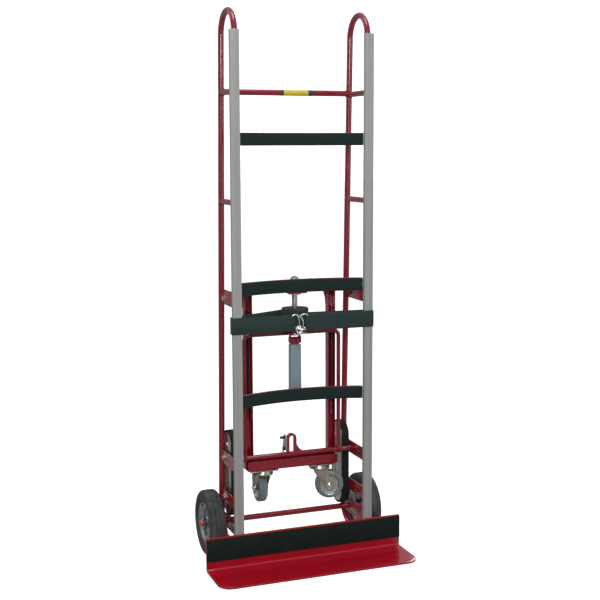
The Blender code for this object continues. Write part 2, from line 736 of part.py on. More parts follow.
def make_pawl(deck):
    pivot = (0.052, SHAFT_BACK)
    nose = 0.0195 + 0.0006
    outline = (arc(pivot, 0.009, -110, 110, 9)
               + [(0.040, SHAFT_BACK + 0.007), (nose + 0.002, SHAFT_BACK + 0.003),
                  (nose, SHAFT_BACK - 0.001), (0.040, SHAFT_BACK - 0.006)])
    finish(plate([outline], 0.005, level_plane(deck + 2 * GAP + 0.0035)), "ratchet_pawl", ZINC)


def make_lever():
    """Yoke on the shaft's lower end, and the fold-down lever with its grip."""
    top = 0.7032
    hub = rod(place(0, SHAFT_BACK, top), place(0, SHAFT_BACK, 0.6880), 0.0185, 20)
    pieces = [hub]
    for sign in SIDES.values():
        cheek = ([(SHAFT_BACK + 0.010, 0.6800), (SHAFT_BACK + 0.004, 0.6840),
                  (SHAFT_BACK + 0.004, 0.6900), (SHAFT_BACK - 0.004, 0.6900),
                  (SHAFT_BACK - 0.004, 0.6840), (SHAFT_BACK - 0.010, 0.6800)]
                 + arc((SHAFT_BACK - 0.004, 0.6680), 0.006, 180, 270, 4)
                 + arc((SHAFT_BACK + 0.004, 0.6680), 0.006, 270, 360, 4))
        pieces.append(plate([cheek], 0.0045, side_plane(sign * 0.0155)))
        pieces.append(rod(place(sign * 0.0190, SHAFT_BACK, LEVER_PIVOT_Z),
                          place(sign * 0.0123, SHAFT_BACK, LEVER_PIVOT_Z), 0.004, 12))
    finish(unite(pieces), "ratchet_yoke", RED)
    tongue = rounded_box((SHAFT_BACK - 0.008, SHAFT_BACK + 0.008), (0.500, 0.6815), 0.005)
    core = plate([tongue], 0.024, side_plane(0))
    finish(core, "ratchet_lever", ZINC)
    low, high = 0.4830, 0.6590
    outline = [(-0.018, low + 0.008), (-0.012, low), (0.012, low), (0.018, low + 0.008),
               (0.017, high), (-0.017, high)]
    shell = plate([outline], 0.022, front_plane(SHAFT_BACK))
    pocket = box((-0.0123, 0.0123), (SHAFT_BACK - 0.0083, SHAFT_BACK + 0.0083), (0.4997, 0.70))
    finish(combine(shell, pocket, "DIFFERENCE"), "ratchet_grip", GRIP)


def belt_path(sign, inner_end, coil_end):
    """Front run, round the outside of one rail, and the rear run to the coil."""
    half = BELT_THICK / 2 + GAP
    corner = 0.0021
    outer = RAIL_OUT + half
    rear = FRONT_LEG_BACK + TUBE_R + half + GAP
    path = [(inner_end, -half)]
    path += arc((outer - corner, -half + corner), corner, -90, 0, 4)
    path += arc((outer - corner, rear - corner), corner, 0, 90, 4)
    path += [coil_end]
    if sign < 0:
        return [(-x, back) for x, back in path]
    return path


def make_belt():
    tangent = SHAFT_BACK - COIL_R - BELT_THICK / 2 - 2 * GAP
    left = band(belt_path(-1, 0.030, (0.018, SHAFT_BACK + 0.0415)), BELT_THICK, BELT_Z)
    finish(left, "load_belt_left", GREEN)
    right = band(belt_path(1, 0.004, (0.004, tangent)), BELT_THICK, BELT_Z)
    finish(right, "load_belt_right", GREEN)
    coil = ring(SHAFT_R + GAP, COIL_R, COIL_Z[1] - COIL_Z[0], 40,
                place(0, SHAFT_BACK, (COIL_Z[0] + COIL_Z[1]) / 2))
    finish(coil, "belt_coil", GREEN)
    make_buckle()


def make_buckle():
    """Wire double hook that joins the belt's two front ends."""
    wire = 0.0019
    back = -BELT_THICK - 2 * GAP - wire
    middle = -0.013
    ring_path = arc((middle, 0.7190), 0.0125, -70, 250, 15)
    left = [(middle - 0.024, 0.7560), (middle - 0.019, 0.7625), (middle - 0.011, 0.7580),
            (middle - 0.006, 0.7480), (middle - 0.003, 0.7315)]
    right = [(middle + 0.024, 0.7600), (middle + 0.016, 0.7635), (middle + 0.009, 0.7560),
             (middle + 0.004, 0.7450), (middle + 0.003, 0.7315)]
    foot = [(middle - 0.016, 0.7045), (middle + 0.018, 0.7045)]
    paths = []
    for points in (left, right, ring_path, foot):
        paths.append([place(x, back, z) for x, z in points])
    finish(unite([tube([path], wire, 2) for path in paths]), "belt_hook", CHROME)


make_frame()
make_cross_members()
make_side_brackets()
make_toe()
make_wheels()
make_kickout()
make_casters()
make_stay()
make_latch()
make_climbers()
make_ratchet()
make_belt()
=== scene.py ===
"""Looks of the convertible hand truck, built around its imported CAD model.

Metres, +Z up. The load leans on the two grey rails and faces -Y; the operator stands at +Y.
Distances named back are measured backwards from the rails' front faces.
"""
import json
import math

import bmesh
import bpy
from mathutils import Matrix, Vector, noise


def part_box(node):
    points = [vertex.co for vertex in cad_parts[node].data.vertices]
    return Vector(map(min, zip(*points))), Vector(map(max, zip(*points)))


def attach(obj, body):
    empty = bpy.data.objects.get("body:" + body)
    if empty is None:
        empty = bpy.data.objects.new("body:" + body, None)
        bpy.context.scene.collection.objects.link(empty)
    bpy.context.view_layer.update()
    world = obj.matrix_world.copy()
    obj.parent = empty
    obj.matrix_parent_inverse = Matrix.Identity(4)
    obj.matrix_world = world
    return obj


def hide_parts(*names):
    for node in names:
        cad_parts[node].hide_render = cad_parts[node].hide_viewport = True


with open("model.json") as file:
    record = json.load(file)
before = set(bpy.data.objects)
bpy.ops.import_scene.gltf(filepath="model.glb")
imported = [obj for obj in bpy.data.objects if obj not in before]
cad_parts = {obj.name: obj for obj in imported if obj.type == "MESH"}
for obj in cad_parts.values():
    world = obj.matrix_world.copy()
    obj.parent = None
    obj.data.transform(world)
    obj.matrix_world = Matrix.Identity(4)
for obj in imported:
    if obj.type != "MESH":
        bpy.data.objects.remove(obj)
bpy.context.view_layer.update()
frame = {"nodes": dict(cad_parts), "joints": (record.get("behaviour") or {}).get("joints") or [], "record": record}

RECORD = frame["record"]
BODY_OF = {node: body for body, nodes in RECORD["behaviour"]["bodies"].items() for node in nodes}
SLOT_OF = {part["node"]: part["material_slot"] for part in RECORD["subparts"]}
SIDES = {"left": -1, "right": 1}
MM = 0.001

# ---------------------------------------------------------------- sizes read from the frame
RAIL_FACE_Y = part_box("rail_cover_right")[0][1]
RAIL_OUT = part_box("rail_cover_right")[1][0]
TUBE_R = (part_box("side_tube_right")[1][0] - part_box("side_tube_right")[0][0]) / 2
SIDE_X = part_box("side_tube_right")[1][0] - TUBE_R
WHEEL_LOW, WHEEL_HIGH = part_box("tyre_right")
WHEEL_R = (WHEEL_HIGH[2] - WHEEL_LOW[2]) / 2
WHEEL_HALF = (WHEEL_HIGH[0] - WHEEL_LOW[0]) / 2
WHEEL_X = (WHEEL_HIGH[0] + WHEEL_LOW[0]) / 2
AXLE_BACK = (WHEEL_HIGH[1] + WHEEL_LOW[1]) / 2 - RAIL_FACE_Y
JOINT = {joint["name"]: joint for joint in frame["joints"]}

# ---------------------------------------------------------------- sizes shared with the CAD model
FRONT_LEG_BACK = 0.0115
HAIRPIN_TOP = 1.6538
HAIRPIN_R = 0.066
REAR_LEG_LOW_BACK = 0.1967
LOWER_BEND_Z = 0.120
LOWER_BEND_R = 0.075
STRUT_HEIGHTS = (1.4215, 1.0990)
STRUT_R = 0.0085
CROSSBAR_Z = 1.4245
CROSSBAR_R = 0.0088
STRAP_BACK = 0.010
BOW = 0.035
TOE_HALF = 0.3175
TOE_LENGTH = 0.1574
TOE_THICK = 0.006
TOE_UP = 0.1045
TOE_CORNER_R = 0.040
RIM_R = 0.064
RIVET_CIRCLE = 0.0480
ARM_X = 0.1375
AXLE_BOLT = (0.058, 0.112)
PIVOT_BOLT = (0.130, 0.806)
STAY_BACK = 0.110
STAY_X = 0.156
STAY_TOP_Z = 0.690
STAY_TUBE_Z = 0.3045
STAY_ROD_R = 0.0062
AXLE_R = 0.0090
CASTER_TRAIL = 0.031
CASTER_R = 0.0455
CASTER_TURN = {"left": math.radians(87.4), "right": math.radians(-20.6)}
SHAFT_BACK = 0.085
COIL_R = 0.043
CLIMB_Z = (0.157, 0.341)


def place(x, back, z):
    """Point from a sideways, a backwards and an upwards distance."""
    return Vector((x, RAIL_FACE_Y + back, z))


# ---------------------------------------------------------------- camera, stage and light
def make_camera():
    yaw, pitch, roll = math.radians(20.6466), math.radians(7.7348), -0.0036
    forward = Vector((math.sin(yaw) * math.cos(pitch), math.cos(yaw) * math.cos(pitch), -math.sin(pitch)))
    level = Vector((math.cos(yaw), -math.sin(yaw), 0))
    upward = level.cross(forward)
    right = math.cos(roll) * level + math.sin(roll) * upward
    up = math.cos(roll) * upward - math.sin(roll) * level
    data = bpy.data.cameras.new("camera")
    data.lens = 67.73
    data.sensor_width = 36.0
    camera = bpy.data.objects.new("camera", data)
    turn = Matrix((right, up, -forward)).transposed().to_4x4()
    camera.matrix_world = Matrix.Translation((-1.1944, -3.1784, 1.2618)) @ turn
    bpy.context.scene.collection.objects.link(camera)
    bpy.context.scene.camera = camera


def area_light(name, location, aim_z, size, power):
    """Soft rectangle that looks at a height on the object's middle line."""
    data = bpy.data.lights.new(name, "AREA")
    data.shape = "RECTANGLE"
    data.size, data.size_y = size
    data.energy = power
    light = bpy.data.objects.new(name, data)
    light.location = location
    light.rotation_euler = (Vector((0, 0, aim_z)) - Vector(location)).to_track_quat("-Z", "Y").to_euler()
    bpy.context.scene.collection.objects.link(light)


def make_stage():
    """Pale floor, a white surround that only the camera sees, and soft studio light."""
    disc = bmesh.new()
    bmesh.ops.create_circle(disc, cap_ends=True, segments=96, radius=38.0)
    floor = stage_surface("floor", disc, (0.5, 0.5, 0.5), 0.84)
    ball = bmesh.new()
    bmesh.ops.create_uvsphere(ball, u_segments=48, v_segments=24, radius=40.0)
    surround = stage_surface("surround", ball, (1, 1, 1), 1.0)
    surround.visible_shadow = False
    surround.visible_transmission = False
    make_world()
    area_light("key", (-1.5, -4.0, 2.2), 0.75, (1.0, 1.5), 120)
    area_light("fill", (2.9, -2.4, 1.6), 0.8, (0.9, 2.2), 22)
    area_light("top", (-0.2, -0.6, 4.0), 0.5, (1.6, 1.6), 42)
    for side, sign in SIDES.items():
        area_light("rear_" + side, (sign * 2.4, 2.6, 2.2), 0.8, (0.9, 2.0), 22)
    bpy.context.scene.view_settings.view_transform = "Standard"


def make_world():
    """Dim surroundings with a dark horizon, a pale ceiling and a mid grey ground."""
    world = bpy.data.worlds.new("studio")
    world.use_nodes = True
    nodes = world.node_tree.nodes
    links = world.node_tree.links
    direction = nodes.new("ShaderNodeSeparateXYZ")
    links.new(nodes.new("ShaderNodeTexCoord").outputs["Generated"], direction.inputs["Vector"])
    rise = nodes.new("ShaderNodeMapRange")
    rise.inputs["From Min"].default_value = -1.0
    links.new(direction.outputs["Z"], rise.inputs["Value"])
    ramp = nodes.new("ShaderNodeValToRGB")
    elements = ramp.color_ramp.elements
    for position, grey in ((0.30, 0.40), (0.46, 0.26), (0.60, 0.20), (0.78, 0.50)):
        element = elements.new(position)
        element.color = (grey, grey * 1.01, grey * 1.03, 1)
    elements[0].color = (0.5, 0.5, 0.5, 1)
    elements[-1].color = (0.85, 0.87, 0.9, 1)
    links.new(rise.outputs["Result"], ramp.inputs["Fac"])
    links.new(ramp.outputs["Color"], nodes["Background"].inputs["Color"])
    nodes["Background"].inputs["Strength"].default_value = 1.0
    bpy.context.scene.world = world


def stage_surface(name, bm, color, glow):
    """Matte, self-lit backdrop that lights nothing and shows in no reflection."""
    material = bpy.data.materials.new(name)
    material.use_nodes = True
    shader = material.node_tree.nodes["Principled BSDF"]
    shader.inputs["Base Color"].default_value = (*color, 1)
    shader.inputs["Roughness"].default_value = 0.9
    shader.inputs["Specular IOR Level"].default_value = 0.1
    shader.inputs["Emission Color"].default_value = (1, 1, 1, 1)
    shader.inputs["Emission Strength"].default_value = glow
    surface = mesh_object(bm)
    surface.name = name
    surface.data.materials.append(material)
    surface.visible_glossy = False
    surface.visible_diffuse = False
    return surface


# ---------------------------------------------------------------- material building blocks
class Look:
    """A Principled material with helpers for its procedural nodes."""

    def __init__(self, name, rough, metal=0.0, **sockets):
        self.material = bpy.data.materials.new(name)
        self.material.use_nodes = True
        self.nodes = self.material.node_tree.nodes
        self.links = self.material.node_tree.links
        self.shader = self.nodes["Principled BSDF"]
        self.shader.inputs["Roughness"].default_value = rough
        self.shader.inputs["Metallic"].default_value = metal
        for socket, value in sockets.items():
            self.shader.inputs[socket.replace("_", " ")].default_value = value
        self.position = self.nodes.new("ShaderNodeTexCoord").outputs["Object"]

    def node(self, kind, **sockets):
        """New node whose named inputs are set, or linked where given an output."""
        node = self.nodes.new("ShaderNode" + kind)
        for name, value in sockets.items():
            self.feed(node.inputs[name], value)
        return node

    def feed(self, socket, value):
        if isinstance(value, bpy.types.NodeSocket):
            self.links.new(value, socket)
        else:
            socket.default_value = value

    def mapped(self, scale):
        return self.node("Mapping", Scale=scale, Vector=self.position).outputs["Vector"]

    def noise(self, scale, detail=3.0, stretch=(1, 1, 1), rough=0.55):
        node = self.node("TexNoise", Scale=scale, Detail=detail, Roughness=rough,
                         Vector=self.mapped(stretch))
        return node.outputs["Fac"]

    def wave(self, source, direction, scale):
        node = self.node("TexWave", Scale=scale, Vector=source)
        node.bands_direction = direction
        return node.outputs["Fac"]

    def ramp(self, factor, stops):
        """Colour ramp with (position, grey or colour) stops."""
        node = self.node("ValToRGB", Fac=factor)
        elements = node.color_ramp.elements
        while len(elements) < len(stops):
            elements.new(0.5)
        for element, (position, value) in zip(elements, stops):
            element.position = position
            color = value if isinstance(value, tuple) else (value, value, value)
            element.color = (*color, 1)
        return node.outputs["Color"]

    def blend(self, factor, first, second, mode="MIX"):
        node = self.nodes.new("ShaderNodeMix")
        node.data_type = "RGBA"
        node.blend_type = mode
        self.feed(node.inputs["Factor"], factor)
        for socket, value in ((node.inputs[6], first), (node.inputs[7], second)):
            self.feed(socket, (*value, 1) if isinstance(value, tuple) else value)
        return node.outputs[2]

    def combine(self, first, second, operation):
        node = self.nodes.new("ShaderNodeMath")
        node.operation = operation
        for socket, value in zip(node.inputs, (first, second)):
            self.feed(socket, value)
        return node.outputs[0]

    def bump(self, height, distance, strength=1.0):
        node = self.node("Bump", Strength=strength, Distance=distance, Height=height)
        previous = self.shader.inputs["Normal"].links
        if previous:
            self.links.new(previous[0].from_socket, node.inputs["Normal"])
        self.links.new(node.outputs["Normal"], self.shader.inputs["Normal"])

    def color(self, value):
        self.links.new(value, self.shader.inputs["Base Color"])

    def rough(self, value):
        self.links.new(value, self.shader.inputs["Roughness"])


def enamel(name, base, dark, worn=0.62, gloss=0.0):
    """Glossy paint with orange peel, faint mottling, dust and small chips to the primer."""
    look = Look(name, 0.28, Coat_Weight=0.45, Coat_Roughness=0.06, Specular_IOR_Level=0.45)
    mottle = look.blend(look.noise(9, 4), base, dark)
    dust = look.ramp(look.noise(60, 6), [(0.52, 0.0), (0.82, 0.045)])
    dusty = look.blend(dust, mottle, (0.22, 0.13, 0.13))
    chips = look.ramp(look.noise(310, 2, rough=0.4), [(worn + 0.11, 0.0), (worn + 0.14, 0.75)])
    look.color(look.blend(chips, dusty, (0.05, 0.035, 0.03)))
    look.rough(look.ramp(look.noise(35, 5), [(0.35, 0.22 - gloss), (0.75, 0.36 - gloss)]))
    look.bump(look.noise(520, 2), 0.25 * MM, 0.22)
    look.bump(chips, -0.12 * MM, 0.5)
    return look.material


def rail_grey(name):
    """Satin grey vinyl with a fine speckled grain and long faint draw lines."""
    look = Look(name, 0.5, Specular_IOR_Level=0.4)
    base = look.blend(look.noise(5, 3), (0.275, 0.278, 0.268), (0.235, 0.237, 0.228))
    streak = look.ramp(look.noise(120, 3, (1, 1, 0.012)), [(0.35, 0.86), (0.65, 1.08)])
    drawn = look.blend(0.8, base, streak, "MULTIPLY")
    grain = look.ramp(look.noise(900, 2), [(0.38, 0.80), (0.62, 1.15)])
    look.color(look.blend(0.6, drawn, grain, "MULTIPLY"))
    look.rough(look.ramp(look.noise(80, 4), [(0.3, 0.42), (0.7, 0.60)]))
    look.bump(look.noise(1400, 2), 0.12 * MM, 0.5)
    look.bump(look.noise(160, 2, (1, 1, 0.01)), 0.2 * MM, 0.4)
    return look.material


def webbing(name, base, light, coarse=1.0):
    """Tight woven webbing: ribs across, yarns along, fuzz and a little wear."""
    look = Look(name, 0.8, Sheen_Weight=0.05, Sheen_Roughness=0.5, Specular_IOR_Level=0.2)
    cloth = look.nodes.new("ShaderNodeUVMap").outputs["UV"]
    across = look.wave(cloth, "X", 95 * coarse)
    along = look.wave(cloth, "Y", 75 * coarse)
    weave = look.combine(across, along, "MULTIPLY")
    patchy = look.blend(look.noise(16, 5), base, light)
    shaded = look.blend(0.55, patchy, look.ramp(weave, [(0.0, 0.55), (0.8, 1.2)]), "MULTIPLY")
    fuzz = look.ramp(look.noise(700, 4), [(0.55, 0.0), (0.80, 0.28)])
    look.color(look.blend(fuzz, shaded, (0.035, 0.06, 0.055)))
    look.rough(look.ramp(look.noise(220, 3), [(0.3, 0.66), (0.7, 0.88)]))
    look.bump(weave, 0.35 * MM, 0.7)
    look.bump(look.noise(1300, 2), 0.1 * MM, 0.4)
    return look.material


def zinc(name, tint=(0.50, 0.51, 0.50), warm=(0.42, 0.41, 0.35), rough=0.30):
    """Zinc plate with a slightly iridescent, cloudy passivation and fine scratches."""
    look = Look(name, rough, 1.0)
    cloud = look.blend(look.ramp(look.noise(38, 5), [(0.35, 0.0), (0.7, 1.0)]), tint, warm)
    stain = look.ramp(look.noise(120, 6), [(0.58, 0.0), (0.78, 0.55)])
    look.color(look.blend(stain, cloud, (0.30, 0.29, 0.27)))
    look.rough(look.ramp(look.noise(260, 4, (1, 1, 0.15)), [(0.3, rough - 0.1), (0.7, rough + 0.14)]))
    look.bump(look.noise(900, 3, (1, 1, 0.2)), 0.08 * MM, 0.4)
    return look.material


def chrome(name):
    look = Look(name, 0.12, 1.0)
    look.color(look.blend(look.ramp(look.noise(150, 4), [(0.5, 0.0), (0.75, 0.5)]),
                          (0.82, 0.83, 0.84), (0.60, 0.61, 0.62)))
    look.rough(look.ramp(look.noise(420, 4), [(0.35, 0.08), (0.75, 0.26)]))
    look.bump(look.noise(1100, 2), 0.05 * MM, 0.3)
    return look.material


def rubber(name, base, dusty, rough=0.72):
    """Moulded rubber: matte, finely pitted, with pale dust in patches."""
    look = Look(name, rough, Specular_IOR_Level=0.22)
    patches = look.ramp(look.noise(26, 6), [(0.42, 0.0), (0.78, 1.0)])
    color = look.blend(patches, base, dusty)
    fine = look.ramp(look.noise(800, 3), [(0.35, 0.78), (0.65, 1.18)])
    look.color(look.blend(0.7, color, fine, "MULTIPLY"))
    look.rough(look.ramp(look.noise(90, 4), [(0.3, rough - 0.14), (0.7, rough + 0.12)]))
    look.bump(look.noise(1500, 2), 0.12 * MM, 0.5)
    look.bump(look.noise(240, 3), 0.15 * MM, 0.25)
    return look.material


def vinyl(name, base, light):
    """Dipped vinyl: smooth, slightly uneven, scuffed paler where it is held."""
    look = Look(name, 0.42, Coat_Weight=0.15, Coat_Roughness=0.3)
    color = look.blend(look.noise(30, 5), base, light)
    scuff = look.ramp(look.noise(170, 6, (1, 1, 0.3)), [(0.56, 0.0), (0.74, 0.35)])
    look.color(look.blend(scuff, color, (0.34, 0.38, 0.40)))
    look.rough(look.ramp(look.noise(70, 4), [(0.3, 0.34), (0.7, 0.56)]))
    look.bump(look.noise(380, 2), 0.2 * MM, 0.3)
    return look.material


def print_band(name):
    """Plain sleeve: dark ends and a bare yellow middle band, with no lettering."""
    look = Look(name, 0.4, Coat_Weight=0.3, Coat_Roughness=0.2)
    along = look.nodes.new("ShaderNodeSeparateXYZ")
    look.links.new(look.position, along.inputs["Vector"])
    low, high = LABEL_X
    share = look.nodes.new("ShaderNodeMapRange")
    share.inputs["From Min"].default_value = low
    share.inputs["From Max"].default_value = high
    look.links.new(along.outputs["X"], share.inputs["Value"])
    dark, yellow = (0.016, 0.022, 0.05), (0.50, 0.40, 0.03)
    bands = look.ramp(share.outputs["Result"], [(0.0, dark), (0.10, yellow), (0.84, dark)])
    look.nodes[-1].color_ramp.interpolation = "CONSTANT"
    scuffed = look.ramp(look.noise(420, 5), [(0.55, 0.0), (0.75, 0.35)])
    look.color(look.blend(scuffed, bands, (0.10, 0.10, 0.09)))
    look.bump(look.noise(300, 3), 0.1 * MM, 0.3)
    return look.material


# ---------------------------------------------------------------- mesh building blocks
def link(obj):
    bpy.context.scene.collection.objects.link(obj)
    return obj


def mesh_object(bm):
    mesh = bpy.data.meshes.new("mesh")
    bm.normal_update()
    bm.to_mesh(mesh)
    bm.free()
    return link(bpy.data.objects.new("piece", mesh))


def baked(obj):
    """A plain mesh object in world space from an object with curves or modifiers."""
    bpy.context.view_layer.update()
    evaluated = obj.evaluated_get(bpy.context.evaluated_depsgraph_get())
    mesh = bpy.data.meshes.new_from_object(evaluated)
    mesh.transform(obj.matrix_world)
    bpy.data.objects.remove(obj)
    return link(bpy.data.objects.new("piece", mesh))


def smooth(obj, degrees=38):
    obj.data.shade_smooth()
    obj.data.set_sharp_from_angle(angle=math.radians(degrees))
    return obj


def bevelled(obj, width, segments=2, degrees=35):
    """Soft edges of an even width wherever two faces meet at more than an angle."""
    bm = bmesh.new()
    bm.from_mesh(obj.data)
    bmesh.ops.remove_doubles(bm, verts=bm.verts, dist=0.00002)
    bmesh.ops.dissolve_limit(bm, angle_limit=math.radians(1.0), verts=bm.verts, edges=bm.edges)
    bm.to_mesh(obj.data)
    bm.free()
    bevel = obj.modifiers.new("bevel", "BEVEL")
    bevel.limit_method = "ANGLE"
    bevel.angle_limit = math.radians(degrees)
    bevel.width = width
    bevel.segments = segments
    return smooth(baked(obj), 30)


def joined(objects):
    """One object from several meshes, each keeping its own surface."""
    bm = bmesh.new()
    for obj in objects:
        mesh = obj.data.copy()
        mesh.transform(obj.matrix_world)
        bm.from_mesh(mesh)
        bpy.data.meshes.remove(mesh)
        bpy.data.objects.remove(obj)
    return mesh_object(bm)


def tube(path, radius, sides=28, closed=False):
    """A round bar along world points."""
    curve = bpy.data.curves.new("tube", "CURVE")
    curve.dimensions = "3D"
    curve.bevel_depth = radius
    curve.bevel_resolution = sides // 2 - 2
    curve.use_fill_caps = not closed
    spline = curve.splines.new("POLY")
    spline.points.add(len(path) - 1)
    for point, position in zip(spline.points, path):
        point.co = (*position, 1.0)
    spline.use_cyclic_u = closed
    return smooth(baked(link(bpy.data.objects.new("tube", curve))), 50)


def rod(start, end, radius, segments=32, edge=0.0004):
    """A cylinder with eased end edges."""
    axis = end - start
    half = axis.length / 2
    profile = [(0, half), (radius - edge, half), (radius, half - edge), (radius, -half + edge),
               (radius - edge, -half), (0, -half)]
    return lathe(profile, segments, facing((start + end) / 2, axis))


def lathe(profile, segments, matrix, shape=None):
    """A profile of (radius, height) points turned round a matrix's Z axis, and shaped if asked."""
    bm = bmesh.new()
    rings = []
    for i in range(segments):
        angle = math.tau * i / segments
        points = [shape(r, h, angle) if shape else (r, h) for r, h in profile]
        rings.append([bm.verts.new((r * math.cos(angle), r * math.sin(angle), h)) for r, h in points])
    for i in range(segments):
        ring, following = rings[i], rings[(i + 1) % segments]
        for j in range(len(profile) - 1):
            bm.faces.new((ring[j], ring[j + 1], following[j + 1], following[j]))
    bmesh.ops.remove_doubles(bm, verts=bm.verts, dist=0.000005)
    bmesh.ops.recalc_face_normals(bm, faces=bm.faces)
    bmesh.ops.transform(bm, matrix=matrix, verts=bm.verts)
    return smooth(mesh_object(bm), 32)


def plate(outlines, thickness, matrix, edge=0.0005, segments=2):
    """Flat outlines, extruded both ways from their own plane, with eased edges."""
    curve = bpy.data.curves.new("plate", "CURVE")
    curve.dimensions = "2D"
    curve.fill_mode = "BOTH"
    curve.extrude = thickness / 2
    for outline in outlines:
        spline = curve.splines.new("POLY")
        spline.points.add(len(outline) - 1)
        for point, (u, v) in zip(spline.points, outline):
            point.co = (u, v, 0.0, 1.0)
        spline.use_cyclic_u = True
    obj = link(bpy.data.objects.new("plate", curve))
    obj.matrix_world = matrix
    return bevelled(baked(obj), edge, segments)


def block(low, high, edge=0.0006, segments=2):
    """A box between two world corners with eased edges."""
    bm = bmesh.new()
    bmesh.ops.create_cube(bm, size=1.0)
    bmesh.ops.scale(bm, vec=Vector(high) - Vector(low), verts=bm.verts)
    bmesh.ops.translate(bm, vec=(Vector(low) + Vector(high)) / 2, verts=bm.verts)
    return bevelled(mesh_object(bm), edge, segments)


def side_plane(x):
    """Outline axes (backwards, up) at a sideways distance."""
    matrix = Matrix(((0, 0, 1), (1, 0, 0), (0, 1, 0))).to_4x4()
    matrix.translation = place(x, 0, 0)
    return matrix


def along_x(centre, sign=1):
    """A turned piece's axis along X, its +Z end pointing outwards on that side."""
    return Matrix.Translation(centre) @ Matrix.Rotation(sign * math.pi / 2, 4, "Y")


def facing(centre, normal):
    """Axes at a point whose +Z looks along a direction."""
    return Matrix.Translation(centre) @ Vector(normal).to_track_quat("Z", "Y").to_matrix().to_4x4()


def mirrored(profile):
    """The same (radius, height) points below the middle plane, in reverse order."""
    return [(r, -h) for r, h in reversed(profile)]


def arc(centre, radius, start, end, count):
    """Points (u, v) on an arc, angles in degrees."""
    points = []
    for i in range(count):
        angle = math.radians(start + (end - start) * i / (count - 1))
        points.append((centre[0] + radius * math.cos(angle), centre[1] + radius * math.sin(angle)))
    return points


def rounded_box(u_range, v_range, radius, count=7):
    u0, u1 = u_range
    v0, v1 = v_range
    return (arc((u1 - radius, v0 + radius), radius, -90, 0, count)
            + arc((u1 - radius, v1 - radius), radius, 0, 90, count)
            + arc((u0 + radius, v1 - radius), radius, 90, 180, count)
            + arc((u0 + radius, v0 + radius), radius, 180, 270, count))


def strip(path, thickness, z_range, edge=0.0009, puff=0.0):
    """Webbing on edge along a path of (sideways, backwards) points, mapped in metres along and up."""
    low, high = z_range
    half = thickness / 2
    section = ([(-half, low + edge)]
               + [(-half - puff * math.sin(math.pi * i / 8), low + edge + (high - low - 2 * edge) * i / 8)
                  for i in range(1, 8)]
               + [(-half, high - edge), (-half + edge * 0.7, high), (half - edge * 0.7, high),
                  (half, high - edge), (half, low + edge), (half - edge * 0.7, low),
                  (-half + edge * 0.7, low)])
    bm = bmesh.new()
    cloth = bm.loops.layers.uv.new("cloth")
    rings = []
    lengths = [0.0]
    for i, point in enumerate(path):
        before = Vector(path[max(i - 1, 0)])
        after = Vector(path[min(i + 1, len(path) - 1)])
        ahead = (after - before).normalized()
        aside = Vector((ahead.y, -ahead.x))
        ring = [bm.verts.new(place(*(Vector(point) - aside * n), z)) for n, z in section]
        rings.append(ring)
        if i:
            lengths.append(lengths[-1] + (Vector(point) - Vector(path[i - 1])).length)
    count = len(section)
    for i in range(len(path) - 1):
        for j in range(count):
            k = (j + 1) % count
            face = bm.faces.new((rings[i][j], rings[i][k], rings[i + 1][k], rings[i + 1][j]))
            corners = ((i, j), (i, k), (i + 1, k), (i + 1, j))
            for loop, (a, b) in zip(face.loops, corners):
                loop[cloth].uv = (lengths[a], section[b][1])
    for ring in (rings[0], rings[-1]):
        cap = bm.faces.new(ring)
        for loop in cap.loops:
            loop[cloth].uv = (loop.vert.co.x, loop.vert.co.z)
    bmesh.ops.recalc_face_normals(bm, faces=bm.faces)
    return smooth(mesh_object(bm), 50)


def catmull(points, per=8):
    """A smooth open curve through points."""
    smooth_points = []
    ends = [points[0] * 2 - points[1]] + list(points) + [points[-1] * 2 - points[-2]]
    for i in range(len(points) - 1):
        a, b, c, d = ends[i:i + 4]
        for step in range(per):
            t = step / per
            smooth_points.append(0.5 * ((2 * b) + (c - a) * t + (2 * a - 5 * b + 4 * c - d) * t ** 2
                                        + (3 * b - a - 3 * c + d) * t ** 3))
    return smooth_points + [points[-1]]


def dress(obj, name, material, body, slot, *stands_for):
    """Name a finished piece, give it its material and put it on its body."""
    obj.name = name
    obj.data.name = name
    obj.data.materials.clear()
    obj.data.materials.append(material)
    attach(obj, body)
    if stands_for:
        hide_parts(*stands_for)
    return obj


def skin(node, material, edge=0.0006, segments=2):
    """A node's own shape with welded faces and soft edges."""
    mesh = frame["nodes"][node].data.copy()
    while mesh.color_attributes:
        mesh.color_attributes.remove(mesh.color_attributes[0])
    obj = bevelled(link(bpy.data.objects.new("skin", mesh)), edge, segments)
    return dress(obj, node + "_body", material, BODY_OF[node], SLOT_OF[node], node)


def weld_bead(centre, normal, radius, thick=0.0016):
    """Rippled fillet weld round a joint."""
    turn = facing(centre, normal)

    def ripple(r, h, angle):
        swell = 1 + 0.22 * math.sin(angle * 16) * (abs(h) / thick + 0.3)
        return radius + (r - radius) * swell, h * swell

    return lathe([(radius + u, v) for u, v in arc((0, 0), thick, 0, 360, 11)], 64, turn, ripple)


def hex_bolt(centre, outward, size, height, washer=True):
    """Hex head with a chamfered top, on a washer; centre is on the surface it clamps."""
    turn = facing(centre, outward)
    rise = 0.0016 if washer else 0.0
    head = [(0, rise + height), (size * 0.72, rise + height), (size, rise + height * 0.78), (size, rise)]
    pieces = [lathe(head + [(0, rise)], 6, turn)]
    if washer:
        rim = [(0, rise), (size * 1.22, rise), (size * 1.30, rise * 0.6), (size * 1.30, 0), (0, 0)]
        pieces.append(lathe(rim, 32, turn))
    return joined(pieces)


